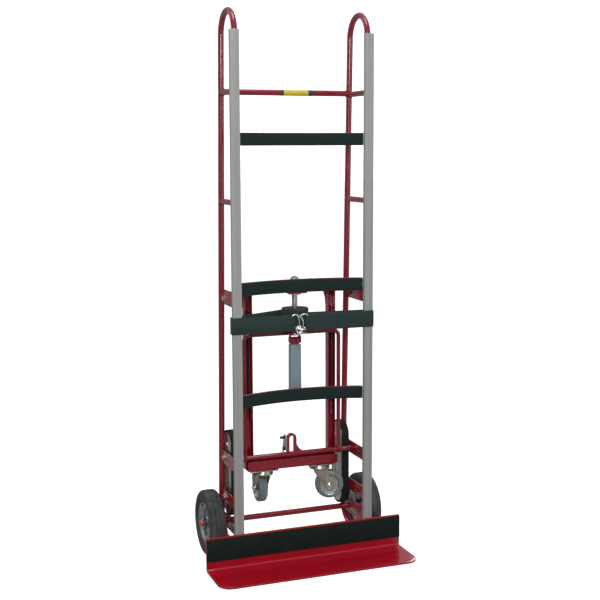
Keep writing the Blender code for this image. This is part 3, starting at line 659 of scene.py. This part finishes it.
# ---------------------------------------------------------------- materials of the truck
LABEL_X = (-0.022, 0.086)
RED = enamel("red_enamel", (0.205, 0.003, 0.013), (0.15, 0.002, 0.009))
TOE_RED = enamel("toe_enamel", (0.31, 0.0003, 0.009), (0.25, 0.0003, 0.007), 0.66, 0.08)
BRACKET_RED = enamel("bracket_enamel", (0.25, 0.010, 0.012), (0.19, 0.006, 0.010))
CAP_RED = vinyl("cap_vinyl", (0.42, 0.05, 0.015), (0.34, 0.04, 0.012))
GREY = rail_grey("rail_vinyl")
STRAP = webbing("strap_webbing", (0.0035, 0.012, 0.011), (0.006, 0.019, 0.017))
BELT = webbing("belt_webbing", (0.013, 0.028, 0.026), (0.020, 0.040, 0.037))
STRIP_RUBBER = rubber("strip_rubber", (0.0010, 0.0058, 0.0046), (0.0025, 0.0095, 0.0080), 0.75)
BLACK_RUBBER = rubber("black_rubber", (0.004, 0.005, 0.006), (0.013, 0.016, 0.017))
TYRE = rubber("tyre_rubber", (0.030, 0.032, 0.032), (0.085, 0.087, 0.082))
CASTER_RUBBER = rubber("caster_rubber", (0.12, 0.145, 0.155), (0.20, 0.225, 0.235), 0.5)
ZINC = zinc("zinc_plate")
YELLOW_ZINC = zinc("yellow_zinc", (0.46, 0.45, 0.40), (0.38, 0.35, 0.24), 0.34)
HUB_ZINC = zinc("hub_zinc", (0.30, 0.33, 0.36), (0.22, 0.24, 0.26), 0.24)
DARK_STEEL = zinc("dark_steel", (0.10, 0.10, 0.10), (0.06, 0.06, 0.06), 0.45)
CHROME = chrome("chrome_plate")
GRIP = vinyl("grip_vinyl", (0.125, 0.185, 0.205), (0.17, 0.235, 0.255))
PULLEY = rubber("pulley_nylon", (0.012, 0.012, 0.013), (0.03, 0.03, 0.03), 0.45)
LABEL = print_band("label_sleeve")


# ---------------------------------------------------------------- tubes and rails
def rear_leg_back(z):
    """Backwards distance of the leaning rear leg at a height."""
    top = FRONT_LEG_BACK + 2 * HAIRPIN_R
    top_z = HAIRPIN_TOP - HAIRPIN_R
    share = (z - LOWER_BEND_Z) / (top_z - LOWER_BEND_Z)
    return REAR_LEG_LOW_BACK + (top - REAR_LEG_LOW_BACK) * share


def make_side_frames():
    top_z = HAIRPIN_TOP - HAIRPIN_R
    bend_back = REAR_LEG_LOW_BACK - LOWER_BEND_R
    outline = [(FRONT_LEG_BACK, 0.058)]
    outline += arc((FRONT_LEG_BACK + HAIRPIN_R, top_z), HAIRPIN_R, 180, 0, 49)
    outline += arc((bend_back, LOWER_BEND_Z), LOWER_BEND_R, 0, -90, 25)
    outline.append((0.0006, LOWER_BEND_Z - LOWER_BEND_R))
    for side, sign in SIDES.items():
        x = sign * SIDE_X
        pieces = [tube([place(x, back, z) for back, z in outline], TUBE_R, 32)]
        for z in STRUT_HEIGHTS:
            rear = rear_leg_back(z)
            pieces.append(tube([place(x, FRONT_LEG_BACK, z), place(x, rear, z)], STRUT_R, 24))
            pieces.append(weld_bead(place(x, rear - TUBE_R + 0.0012, z), (0, 1, 0), STRUT_R + 0.0006))
            pieces.append(weld_bead(place(x, FRONT_LEG_BACK + TUBE_R - 0.0012, z), (0, 1, 0),
                                    STRUT_R + 0.0006))
        dress(joined(pieces), "side_frame_" + side, RED, "frame", "red_enamel", "side_tube_" + side)
        skin("rail_cover_" + side, GREY, 0.0014, 3)


def make_crossbar():
    back = rear_leg_back(CROSSBAR_Z)
    end = SIDE_X - TUBE_R
    pieces = [tube([place(-end, back, CROSSBAR_Z), place(end, back, CROSSBAR_Z)], CROSSBAR_R, 28)]
    for sign in SIDES.values():
        pieces.append(weld_bead(place(sign * (end - 0.0005), back, CROSSBAR_Z), (1, 0, 0),
                                CROSSBAR_R + 0.0004))
    dress(joined(pieces), "crossbar_tube", RED, "frame", "red_enamel", "crossbar")
    low, high = LABEL_X
    sleeve = [(CROSSBAR_R, low), (CROSSBAR_R + 0.0003, low), (CROSSBAR_R + 0.0003, high),
              (CROSSBAR_R, high)]
    label = lathe(sleeve, 48, along_x(place(0, back, CROSSBAR_Z)))
    dress(label, "crossbar_label", LABEL, "frame", "black_plastic")


def bowed_path(back, half, count=41):
    points = []
    for i in range(count):
        x = half * (2 * i / (count - 1) - 1)
        points.append((x, back + BOW * (1 - (x / half) ** 2)))
    return points


def make_cross_members():
    """Bowed flat bars faced with tight webbing."""
    for level in ("top", "middle", "lower"):
        low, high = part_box("strap_" + level)
        half = high[0]
        bar_low, bar_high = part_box("crossmember_" + level)
        bar = strip(bowed_path(STRAP_BACK + 0.0053, half), 0.005, (bar_low[2], bar_high[2]), 0.0007)
        dress(bar, "crossmember_bar_" + level, RED, "frame", "red_enamel", "crossmember_" + level)
        cover = strip(bowed_path(STRAP_BACK + 0.00125, half), 0.0025, (low[2], high[2]), 0.0009, 0.0006)
        dress(cover, "strap_cover_" + level, STRAP, "frame", "strap_webbing", "strap_" + level)


def make_brackets():
    """Side brackets with zinc bolts outside and small dark nuts inside."""
    for side, sign in SIDES.items():
        bolts = []
        outer = SIDE_X + 0.0027
        for level in ("upper", "lower"):
            node = "climber_bracket_" + level + "_" + side
            low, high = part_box(node)
            skin(node, BRACKET_RED, 0.0008)
            middle = (low[2] + high[2]) / 2
            bolts.append(hex_bolt(place(sign * outer, 0.150, middle), (sign, 0, 0), 0.0086, 0.0066))
        skin("axle_bracket_" + side, BRACKET_RED, 0.0008)
        bolts.append(hex_bolt(place(sign * outer, *AXLE_BOLT), (sign, 0, 0), 0.0076, 0.0066))
        skin("pivot_bracket_" + side, BRACKET_RED, 0.0008)
        bolts.append(hex_bolt(place(sign * outer, *PIVOT_BOLT), (sign, 0, 0), 0.0076, 0.0066))
        dress(joined(bolts), "bracket_bolts_" + side, ZINC, "frame", "zinc_plate")
        # Inner nuts in dark steel. Their dark tone is partly painted shade, standing in for the shadow inside the
        # bracket holes.
        nuts = []
        for back, z in ((0.060, 0.303), (0.060, 0.1785), AXLE_BOLT, PIVOT_BOLT):
            inner = place(sign * (SIDE_X - 0.0027), back, z)
            nuts.append(hex_bolt(inner, (-sign, 0, 0), 0.0055, 0.0036))
        dress(joined(nuts), "bracket_nuts_" + side, DARK_STEEL, "frame", "zinc_plate")


# ---------------------------------------------------------------- toe plate
def make_toe():
    """Bent plate with a rounded fold and round front corners."""
    fold = 0.0085
    mid = TOE_THICK / 2
    section = [(-TOE_LENGTH + TOE_CORNER_R * (1 - math.cos(math.radians(i * 11.25))), mid)
               for i in range(9)]
    section += [(-TOE_LENGTH + TOE_CORNER_R + 0.02, mid)]
    section += [(back, z) for back, z in arc((-mid - fold, mid + fold), fold, -90, 0, 13)]
    section += [(-mid, 0.05), (-mid, TOE_UP)]
    bm = bmesh.new()
    columns = 24
    rows = []
    for back, z in section:
        inset = 0.0
        reach = -TOE_LENGTH + TOE_CORNER_R - back
        if reach > 0:
            inset = TOE_CORNER_R - math.sqrt(max(TOE_CORNER_R ** 2 - reach ** 2, 0.0))
        half = TOE_HALF - inset
        rows.append([bm.verts.new(place(half * (2 * i / columns - 1), back, z))
                     for i in range(columns + 1)])
    for first, second in zip(rows, rows[1:]):
        for i in range(columns):
            bm.faces.new((first[i], first[i + 1], second[i + 1], second[i]))
    bmesh.ops.recalc_face_normals(bm, faces=bm.faces)
    toe = mesh_object(bm)
    solid = toe.modifiers.new("thick", "SOLIDIFY")
    solid.thickness = TOE_THICK
    solid.offset = 0.0
    solid.use_even_offset = True
    bevel = toe.modifiers.new("bevel", "BEVEL")
    bevel.limit_method = "ANGLE"
    bevel.angle_limit = math.radians(50)
    bevel.width = 0.0012
    bevel.segments = 3
    toe = smooth(baked(toe), 40)
    dress(toe, "toe_plate_body", TOE_RED, "frame", "toe_enamel", "toe_plate")
    skin("toe_strip", STRIP_RUBBER, 0.0008, 3)


# ---------------------------------------------------------------- main wheels
def tyre_profile():
    """Section of the tyre: bead, bulged side with a ring, round shoulder and grooved tread."""
    half = WHEEL_HALF
    side = [(RIM_R, half - 0.0045), (RIM_R + 0.004, half - 0.0022), (0.0740, half - 0.0008),
            (0.0752, half - 0.0001), (0.0768, half - 0.0001), (0.0780, half - 0.0009),
            (0.0850, half - 0.0004)]
    shoulder = [(WHEEL_R - 0.012 + u, half - 0.013 + v)
                for u, v in ((0.012 * math.cos(a), 0.013 * math.sin(a))
                             for a in (math.radians(75 - 15 * i) for i in range(6)))]
    groove = [(WHEEL_R, 0.0098), (WHEEL_R - 0.0004, 0.0090), (WHEEL_R - 0.0020, 0.0084),
              (WHEEL_R - 0.0020, 0.0068), (WHEEL_R - 0.0004, 0.0062), (WHEEL_R, 0.0054)]
    upper = side + shoulder + groove
    return upper + mirrored(upper) + [(RIM_R, 0.0), upper[0]]


def hub_profile():
    """Section of the pressed wheel centre: rolled rim, dish and barrel."""
    half = WHEEL_HALF
    rim = RIM_R - 0.0003
    outer = [(AXLE_R + 0.0003, half + 0.0004), (0.0165, half + 0.0004), (0.0172, half - 0.0004),
             (0.0172, half - 0.0100), (0.0190, half - 0.0125), (0.0300, half - 0.0150),
             (0.0420, half - 0.0178), (0.0520, half - 0.0170), (0.0575, half - 0.0130),
             (0.0590, half - 0.0075), (0.0602, half - 0.0052), (rim - 0.0008, half - 0.0040),
             (rim, half - 0.0052)]
    return outer + mirrored(outer) + [outer[0]]


def pressed_ribs(r, h, angle):
    """Six shallow radial ribs between the barrel and the rim."""
    if 0.021 < r < 0.055 and abs(h) < WHEEL_HALF:
        window = math.sin(math.pi * (r - 0.021) / 0.034)
        return r, h + math.copysign(0.0034, h) * window * max(math.cos(6 * angle), -0.2)
    return r, h


def make_wheels():
    for side, sign in SIDES.items():
        centre = place(sign * WHEEL_X, AXLE_BACK, WHEEL_R)
        body = "wheel_" + side
        tyre = lathe(tyre_profile(), 128, along_x(centre, sign))
        dress(tyre, "tyre_body_" + side, TYRE, body, "wheel_tyre", "tyre_" + side)
        hub = lathe(hub_profile(), 144, along_x(centre, sign), pressed_ribs)
        dress(hub, "wheel_centre_" + side, HUB_ZINC, body, "zinc_plate", "wheel_hub_" + side)
        rivets = []
        for i in range(6):
            angle = math.tau * (i + 0.5) / 6
            spot = along_x(centre, sign) @ Vector((RIVET_CIRCLE * math.cos(angle),
                                                   RIVET_CIRCLE * math.sin(angle), WHEEL_HALF - 0.0176))
            rivets.append(hex_bolt(spot, (sign, 0, 0), 0.0035, 0.0022, False))
        dress(joined(rivets), "wheel_rivets_" + side, DARK_STEEL, body, "zinc_plate")
    end = WHEEL_X + WHEEL_HALF + 0.0020
    axle = tube([place(-end, AXLE_BACK, WHEEL_R), place(end, AXLE_BACK, WHEEL_R)], AXLE_R, 28)
    dress(axle, "axle_tube", RED, "frame", "red_enamel", "axle")
    for side, sign in SIDES.items():
        cap = [(0, 0.0100), (0.0042, 0.0096), (0.0080, 0.0080), (0.0100, 0.0052), (0.0106, 0.0022),
               (0.0108, 0.0016), (0.0108, 0.0002), (0, 0.0002)]
        piece = lathe(cap, 48, along_x(place(sign * (WHEEL_X + WHEEL_HALF + 0.0012), AXLE_BACK,
                                             WHEEL_R), sign))
        dress(piece, "axle_cap_" + side, CAP_RED, "frame", "red_enamel")


# ---------------------------------------------------------------- kick-out frame
def make_kickout():
    for side, sign in SIDES.items():
        skin("kickout_arm_" + side, RED, 0.0007)
        middle = sign * ARM_X
        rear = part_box("kickout_angle")[1][1] - RAIL_FACE_Y - 0.0063
        # Black strip just in front of each arm's web: a dark sheet of painted shade standing in for the shadowed
        # inside of the channel, not a real part.
        shade_strip = block(place(middle - 0.0064, rear - 0.0013, 0.470),
                      place(middle + 0.0064, rear - 0.0001, 0.765))
        dress(shade_strip, "arm_shade_strip_" + side, BLACK_RUBBER, "kickout", "black_plastic")
    skin("kickout_angle", RED, 0.0009, 3)
    low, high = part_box("kickout_pivot_rod")
    middle = (low[1] + high[1]) / 2 - RAIL_FACE_Y
    z = (low[2] + high[2]) / 2
    shaft = rod(place(low[0], middle, z), place(high[0], middle, z), (high[2] - low[2]) / 2, 40)
    pieces = [shaft]
    for sign in SIDES.values():
        collar = [(0.0062, 0.003), (0.0098, 0.003), (0.0104, 0.0024), (0.0104, -0.0024),
                  (0.0098, -0.003), (0.0062, -0.003), (0.0062, 0.003)]
        pieces.append(lathe(collar, 40, along_x(place(sign * 0.1585, middle, z))))
    dress(joined(pieces), "pivot_rod_body", ZINC, "frame", "zinc_plate", "kickout_pivot_rod")


def caster_matrix(side):
    """Caster axes: +X trails from the kingpin to the wheel, +Z is up."""
    centre = Vector(JOINT["caster_swivel_" + side]["pos_m"])
    centre.z = 0
    return Matrix.Translation(centre) @ Matrix.Rotation(CASTER_TURN[side], 4, "Z")


def make_casters():
    for side in SIDES:
        matrix = caster_matrix(side)
        axle_z = JOINT["caster_spin_" + side]["pos_m"][2]
        hub = matrix @ Matrix.Translation((CASTER_TRAIL, 0, axle_z)) @ Matrix.Rotation(math.pi / 2, 4, "X")
        skin("caster_plate_" + side, ZINC, 0.0005)
        make_fork(side, matrix, axle_z)
        make_caster_wheel(side, hub)
        make_brake(side, matrix, axle_z)


def make_fork(side, matrix, axle_z):
    """Pressed fork: dished crown, ball race and two flanged legs, with the wheel's bolt."""
    swivel = "swivel_" + side
    skin("caster_fork_" + side, YELLOW_ZINC, 0.0005)
    kingpin = matrix @ Matrix.Translation((0, 0, 0.2475))
    race = [(0.0255, 0.0052), (0.0290, 0.0046), (0.0312, 0.0030), (0.0316, 0.0008),
            (0.0306, -0.0006), (0.0255, -0.0006), (0.0255, 0.0052)]
    nut = [(0, -0.0075), (0.0052, -0.0072), (0.0070, -0.0052), (0.0070, 0.0), (0, 0.0)]
    pieces = [lathe(race, 64, kingpin), lathe(nut, 6, kingpin)]
    for offset in (-1, 1):
        rim = [matrix @ Vector((CASTER_TRAIL + 0.0105 * math.cos(a), offset * 0.0204,
                                axle_z + 0.0105 * math.sin(a)))
               for a in (math.radians(200 + 14 * i) for i in range(15))]
        pieces.append(tube(rim, 0.0008, 10))
    dress(joined(pieces), "caster_race_" + side, ZINC, swivel, "zinc_plate")
    bolts = []
    for offset in (-1, 1):
        spot = matrix @ Vector((CASTER_TRAIL, offset * 0.0198, axle_z))
        outward = matrix.to_3x3() @ Vector((0, offset, 0))
        bolts.append(hex_bolt(spot, outward, 0.0079, 0.0048))
        dome = [(0, 0.0082), (0.0020, 0.0078), (0.0036, 0.0066), (0.0040, 0.0050), (0, 0.0050)]
        bolts.append(lathe(dome, 24, facing(spot, outward)))
    dress(joined(bolts), "caster_bolt_" + side, CHROME, swivel, "chrome_plate")


def make_caster_wheel(side, hub):
    """Rubber tread on a pressed disc."""
    half = 0.015
    tread = [(0.0335, half - 0.0012), (0.0345, half), (CASTER_R - 0.0085, half)]
    tread += [(CASTER_R - 0.0085 + u, half - 0.0085 + v) for u, v in arc((0, 0), 0.0085, 78, 12, 6)]
    tread += [(CASTER_R, half - 0.0105)]
    tread += mirrored(tread) + [(0.0330, 0.0), tread[0]]
    disc = [(0.0046, 0.0160), (0.0095, 0.0160), (0.0102, 0.0153), (0.0102, half - 0.0030),
            (0.0160, half - 0.0046), (0.0240, half - 0.0048), (0.0300, half - 0.0036),
            (0.0318, half - 0.0006), (0.0334, half - 0.0002)]
    disc += mirrored(disc) + [disc[0]]
    roller = "roller_" + side
    dress(lathe(tread, 96, hub), "caster_tread_" + side, CASTER_RUBBER, roller, "caster_rubber",
          "caster_wheel_" + side)
    dress(lathe(disc, 96, hub), "caster_disc_" + side, ZINC, roller, "zinc_plate")


def make_brake(side, matrix, axle_z):
    """Slotted wheel brake lever on the fork's outer leg, with its pedal lip."""
    face = 0.0216 if side == "left" else -0.0216
    lean = 0.006
    head = CASTER_TRAIL + lean
    outline = [(CASTER_TRAIL - 0.0070, axle_z - 0.004), (CASTER_TRAIL + 0.0070, axle_z - 0.004),
               (head + 0.0075, axle_z + 0.030), (head + 0.0070, axle_z + 0.0480),
               (head - 0.0070, axle_z + 0.0480), (head - 0.0075, axle_z + 0.030)]
    slot = [(CASTER_TRAIL + lean - 0.0005 + u, axle_z + 0.031 + v)
            for u, v in rounded_box((-0.0017, 0.0017), (-0.0048, 0.0048), 0.0016, 5)][::-1]
    plane = Matrix(((1, 0, 0), (0, 0, -1), (0, 1, 0))).to_4x4()
    plane.translation = Vector((0, face, 0))
    lever = plate([outline, slot], 0.0018, matrix @ plane, 0.0004)
    lip_low = Vector((CASTER_TRAIL - 0.0070 + lean, min(face, face * 1.42), axle_z + 0.0465))
    lip_high = Vector((CASTER_TRAIL + 0.0070 + lean, max(face, face * 1.42), axle_z + 0.0485))
    lip = block(lip_low, lip_high, 0.0006)
    lip.data.transform(matrix)
    dress(joined([lever, lip]), "caster_brake_" + side, YELLOW_ZINC, "swivel_" + side, "zinc_plate")


# ---------------------------------------------------------------- stay and latch
def make_stay():
    bend = 0.018
    corner = (STAY_X - bend, STAY_TOP_Z - bend)
    half_path = [(STAY_X, STAY_TUBE_Z + 0.0098)] + arc(corner, bend, 0, 90, 13)
    path = half_path + [(-x, z) for x, z in reversed(half_path)]
    pieces = [tube([place(x, STAY_BACK, z) for x, z in path], STAY_ROD_R, 24)]
    for sign in SIDES.values():
        sleeve = [(0.0086, 0.005), (0.0107, 0.005), (0.0112, 0.0045), (0.0112, -0.0045),
                  (0.0107, -0.005), (0.0086, -0.005), (0.0086, 0.005)]
        centre = place(sign * STAY_X, STAY_BACK, STAY_TUBE_Z)
        pieces.append(lathe(sleeve, 40, along_x(centre)))
        pieces.append(weld_bead(centre + Vector((0, 0, 0.0110)), (0, 0, 1), 0.0065, 0.0011))
    dress(joined(pieces), "stay_bar", RED, "stay", "red_enamel", "stay_bail")
    skin("stay_tube", RED, 0.0007)
    skin("latch_lever", ZINC, 0.0005)
    lever_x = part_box("latch_lever")[1][0]
    tips = []
    for z, back, reach, thick in ((0.3595, 0.112, 0.0172, 0.0042), (0.324, STAY_BACK, 0.0095, 0.0056)):
        start = lever_x - 0.0032
        tips.append(rod(place(start, back, z), place(start - reach, back, z), thick, 32, 0.0012))
    dress(joined(tips), "latch_tips", PULLEY, "latch", "black_plastic")


# ---------------------------------------------------------------- stair climbers
def belt_loop(centre_back, low, high, radius, count):
    """Evenly spaced points and outward directions round an upright loop."""
    straight = high - low
    total = 2 * straight + math.tau * radius
    stations = []
    for i in range(count):
        s = total * i / count
        if s < straight:
            stations.append((centre_back + radius, low + s, 0.0))
        elif s < straight + math.pi * radius:
            angle = (s - straight) / radius
            stations.append((centre_back + radius * math.cos(angle),
                             high + radius * math.sin(angle), angle))
        elif s < 2 * straight + math.pi * radius:
            stations.append((centre_back - radius, high - (s - straight - math.pi * radius), math.pi))
        else:
            angle = math.pi + (s - 2 * straight - math.pi * radius) / radius
            stations.append((centre_back + radius * math.cos(angle),
                             low + radius * math.sin(angle), angle))
    return stations


def make_climbers():
    low, high = CLIMB_Z
    pitch = 0.0085
    for side in SIDES:
        box_low, box_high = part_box("climber_belt_" + side)
        back = (box_low[1] + box_high[1]) / 2 - RAIL_FACE_Y
        outer = (box_high[1] - box_low[1]) / 2
        middle = (box_low[0] + box_high[0]) / 2
        half = (box_high[0] - box_low[0]) / 2
        length = 2 * (high - low) + math.tau * outer
        lugs = int(length / pitch)
        count = lugs * 4
        bm = bmesh.new()
        rings = []
        for i, (b, z, angle) in enumerate(belt_loop(back, low, high, outer, count)):
            drop = (0.0, 0.0, 0.0017, 0.0017)[i % 4]
            outward = Vector((0, math.cos(angle), math.sin(angle)))
            centre = place(middle, b, z)
            ring = []
            for across, depth in ((-half, 0.0045), (-half, drop + 0.0006), (-half + 0.0012, drop),
                                  (half - 0.0012, drop), (half, drop + 0.0006), (half, 0.0045)):
                ring.append(bm.verts.new(centre + Vector((across, 0, 0)) - outward * depth))
            rings.append(ring)
        for i in range(count):
            a, b = rings[i], rings[(i + 1) % count]
            for j in range(6):
                k = (j + 1) % 6
                bm.faces.new((a[j], a[k], b[k], b[j]))
        bmesh.ops.recalc_face_normals(bm, faces=bm.faces)
        dress(smooth(mesh_object(bm), 25), "climber_track_" + side, BLACK_RUBBER, "frame",
              "black_rubber", "climber_belt_" + side)
        make_climber_frame(side, back, middle, half, outer - 0.0045)


def stadium(back, low, high, radius, count=25):
    return arc((back, high), radius, 0, 180, count) + arc((back, low), radius, 180, 360, count)


def make_climber_frame(side, back, middle, half, inner):
    """Two pressed side plates with ribs and axle ends, on a channel core."""
    low, high = CLIMB_Z
    pieces = []
    bosses = []
    for face in (-1, 1):
        x = middle + face * (half - 0.001)
        pieces.append(plate([stadium(back, low, high, inner - 0.002)], 0.002, side_plane(x), 0.0005))
        for shift in (-0.016, 0.016):
            rib = stadium(back + shift, low + 0.004, high - 0.004, 0.0052, 9)
            pieces.append(plate([rib], 0.0012, side_plane(middle + face * (half + 0.0003)), 0.0005))
        for z in (low, high):
            spot = place(middle + face * (half + 0.0001), back, z)
            bosses.append(hex_bolt(spot, (face, 0, 0), 0.0065, 0.0030))
    pieces.append(block(place(middle - half + 0.0012, back - 0.02, low + inner + 0.003),
                        place(middle + half - 0.0012, back + 0.02, high - inner - 0.003)))
    dress(joined(pieces), "climber_plates_" + side, ZINC, "frame", "zinc_plate", "climber_frame_" + side)
    dress(joined(bosses), "climber_axle_ends_" + side, CHROME, "frame", "chrome_plate")
    for level, z in zip(("lower", "upper"), CLIMB_Z):
        wide = half - 0.0023
        rim = inner - 0.0006
        profile = [(0, wide), (0.012, wide), (0.014, wide - 0.004), (0.030, wide - 0.004),
                   (0.033, wide), (rim - 0.0006, wide), (rim, wide - 0.0006)]
        profile += mirrored(profile)
        wheel = lathe(profile, 72, along_x(place(middle, back, z)))
        node = "climber_pulley_" + level + "_" + side
        dress(wheel, "pulley_" + level + "_" + side, PULLEY, BODY_OF[node], "black_plastic", node)


# ---------------------------------------------------------------- belt and ratchet
def belt_path(sign, inner_end, coil_end, front=0.00155):
    """Front run, round the outside of one rail and side tube, and the rear run to the coil."""
    corner = 0.0030
    outer = RAIL_OUT + 0.00155
    rear = FRONT_LEG_BACK + TUBE_R + 0.00155
    path = [(inner_end + (outer - corner - inner_end) * i / 24,
             -front - 0.0005 * math.sin(math.pi * i / 24)) for i in range(24)]
    path += arc((outer - corner, -front + corner), corner, -90, 0, 9)
    path += arc((outer - corner, rear - corner), corner, 0, 90, 9)
    start = path[-1]
    path += [(start[0] + (coil_end[0] - start[0]) * i / 20, start[1] + (coil_end[1] - start[1]) * i / 20)
             for i in range(1, 21)]
    return [(sign * x, back) for x, back in path]


def make_belt():
    low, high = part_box("load_belt_left")
    z_range = (low[2], high[2])
    runs = (("left", belt_path(-1, 0.030, (0.018, SHAFT_BACK + 0.0415)), "rail_cover_left"),
            ("right", belt_path(1, 0.004, (0.004, SHAFT_BACK - COIL_R - 0.00185)), "rail_cover_right"))
    for side, path, rail in runs:
        belt = strip(path, 0.0024, z_range, 0.0009, 0.0005)
        belt = dress(belt, "belt_" + side, BELT, "frame", "belt_webbing", "load_belt_" + side)
    seam_x = 0.112
    lap = strip([(0.004 + (seam_x - 0.004) * i / 16, -0.0043 - 0.0003 * math.sin(math.pi * i / 16))
                 for i in range(17)], 0.0022, (z_range[0] + 0.0004, z_range[1] - 0.0004), 0.0008, 0.0004)
    dress(lap, "belt_lap", BELT, "frame", "belt_webbing")
    stitches = []
    for x in (seam_x - 0.006, seam_x - 0.012, 0.011):
        z = z_range[0] + 0.005
        while z < z_range[1] - 0.005:
            a, b = place(x, -0.00585, z), place(x, -0.00585, z + 0.0028)
            stitches.append(tube([a, (a + b) / 2 - Vector((0, 0.0003, 0)), b], 0.00045, 8))
            z += 0.0042
    dress(joined(stitches), "belt_stitches", STRAP, "frame", "belt_webbing")
    make_coil()
    make_hook()


def make_coil():
    """Belt wound in a spiral round the ratchet shaft."""
    low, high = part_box("belt_coil")
    inner = 0.0105
    pitch = 0.0030
    turns = (COIL_R - 0.0014 - inner) / pitch
    steps = int(turns * 40)
    path = []
    for i in range(steps + 1):
        angle = math.tau * turns * i / steps
        radius = inner + pitch * angle / math.tau
        path.append((radius * math.sin(angle), SHAFT_BACK - radius * math.cos(angle)))
    coil = strip(path, 0.0026, (low[2], high[2]), 0.0008)
    dress(coil, "belt_winding", BELT, "frame", "belt_webbing", "belt_coil")


def make_hook():
    """Bright wire double hook with its ring and cross pins."""
    wire = 0.0019
    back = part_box("belt_hook")[0][1] - RAIL_FACE_Y + wire

    def wire_path(points, dip=0.0):
        shaped = [place(x, back - dip * math.sin(math.pi * i / (len(points) - 1)), z)
                  for i, (x, z) in enumerate(points)]
        return tube(catmull(shaped), wire, 14)

    left = [(-0.0414, 0.7588), (-0.0384, 0.7630), (-0.0307, 0.7646), (-0.0243, 0.7606),
            (-0.0203, 0.7523), (-0.0186, 0.7420), (-0.0182, 0.7240)]
    right = [(0.0078, 0.7596), (0.0053, 0.7638), (-0.0007, 0.7650), (-0.0085, 0.7634),
             (-0.0165, 0.7598)]
    loop = [(-0.0165, 0.7598), (-0.0110, 0.7518), (-0.0072, 0.7434), (-0.0064, 0.7332),
            (-0.0076, 0.7230)]
    ring = [(-0.0241, 0.7213), (-0.0262, 0.7150), (-0.0224, 0.7095), (-0.0138, 0.7120),
            (-0.0055, 0.7180)]
    foot = [(-0.0361, 0.7058), (-0.0267, 0.7038), (-0.0173, 0.7054), (-0.0112, 0.7098),
            (-0.0044, 0.7071), (0.0077, 0.7042)]
    pieces = [wire_path(left, 0.0012), wire_path(right, 0.0010), wire_path(loop, 0.0014),
              wire_path(ring), wire_path(foot)]
    for x in (-0.0266, -0.0017):
        pieces.append(rod(place(x, back - 0.0024, 0.7207), place(x, back + 0.0012, 0.7207), 0.0044, 28,
                          0.0008))
    dress(joined(pieces), "belt_hook_wire", CHROME, "frame", "chrome_plate", "belt_hook")


def make_ratchet():
    skin("ratchet_bracket", RED, 0.0007)
    low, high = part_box("ratchet_shaft")
    radius = 0.0085
    profile = [(0, high[2]), (radius - 0.0010, high[2])]
    thread = 0.0013
    z = high[2] - 0.0006
    while z > high[2] - 0.0085:
        profile += [(radius, z), (radius - 0.0006, z - thread / 2)]
        z -= thread
    profile += [(radius, z), (radius, 0.8186), (0.0200, 0.8186), (0.0205, 0.8180), (0.0205, 0.8150),
                (0.0200, 0.8144), (radius, 0.8144), (radius, low[2] + 0.0005),
                (radius - 0.0005, low[2]), (0, low[2])]
    shaft = lathe(profile, 48, Matrix.Translation(place(0, SHAFT_BACK, 0)))
    dress(shaft, "shaft_body", ZINC, "spool", "zinc_plate", "ratchet_shaft")
    skin("ratchet_wheel", CHROME, 0.0005)
    skin("ratchet_pawl", DARK_STEEL, 0.0006)
    low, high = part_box("ratchet_pawl")
    pin = hex_bolt(place(0.052, SHAFT_BACK, high[2] - 0.0002), (0, 0, 1), 0.0058, 0.0038)
    dress(pin, "pawl_bolt", ZINC, "pawl", "zinc_plate")
    skin("ratchet_yoke", RED, 0.0007)
    skin("ratchet_lever", RED, 0.0006)
    skin("ratchet_grip", GRIP, 0.0026, 4)


make_camera()
make_stage()
make_side_frames()
make_crossbar()
make_cross_members()
make_brackets()
make_toe()
make_wheels()
make_kickout()
make_casters()
make_stay()
make_climbers()
make_belt()
make_ratchet()
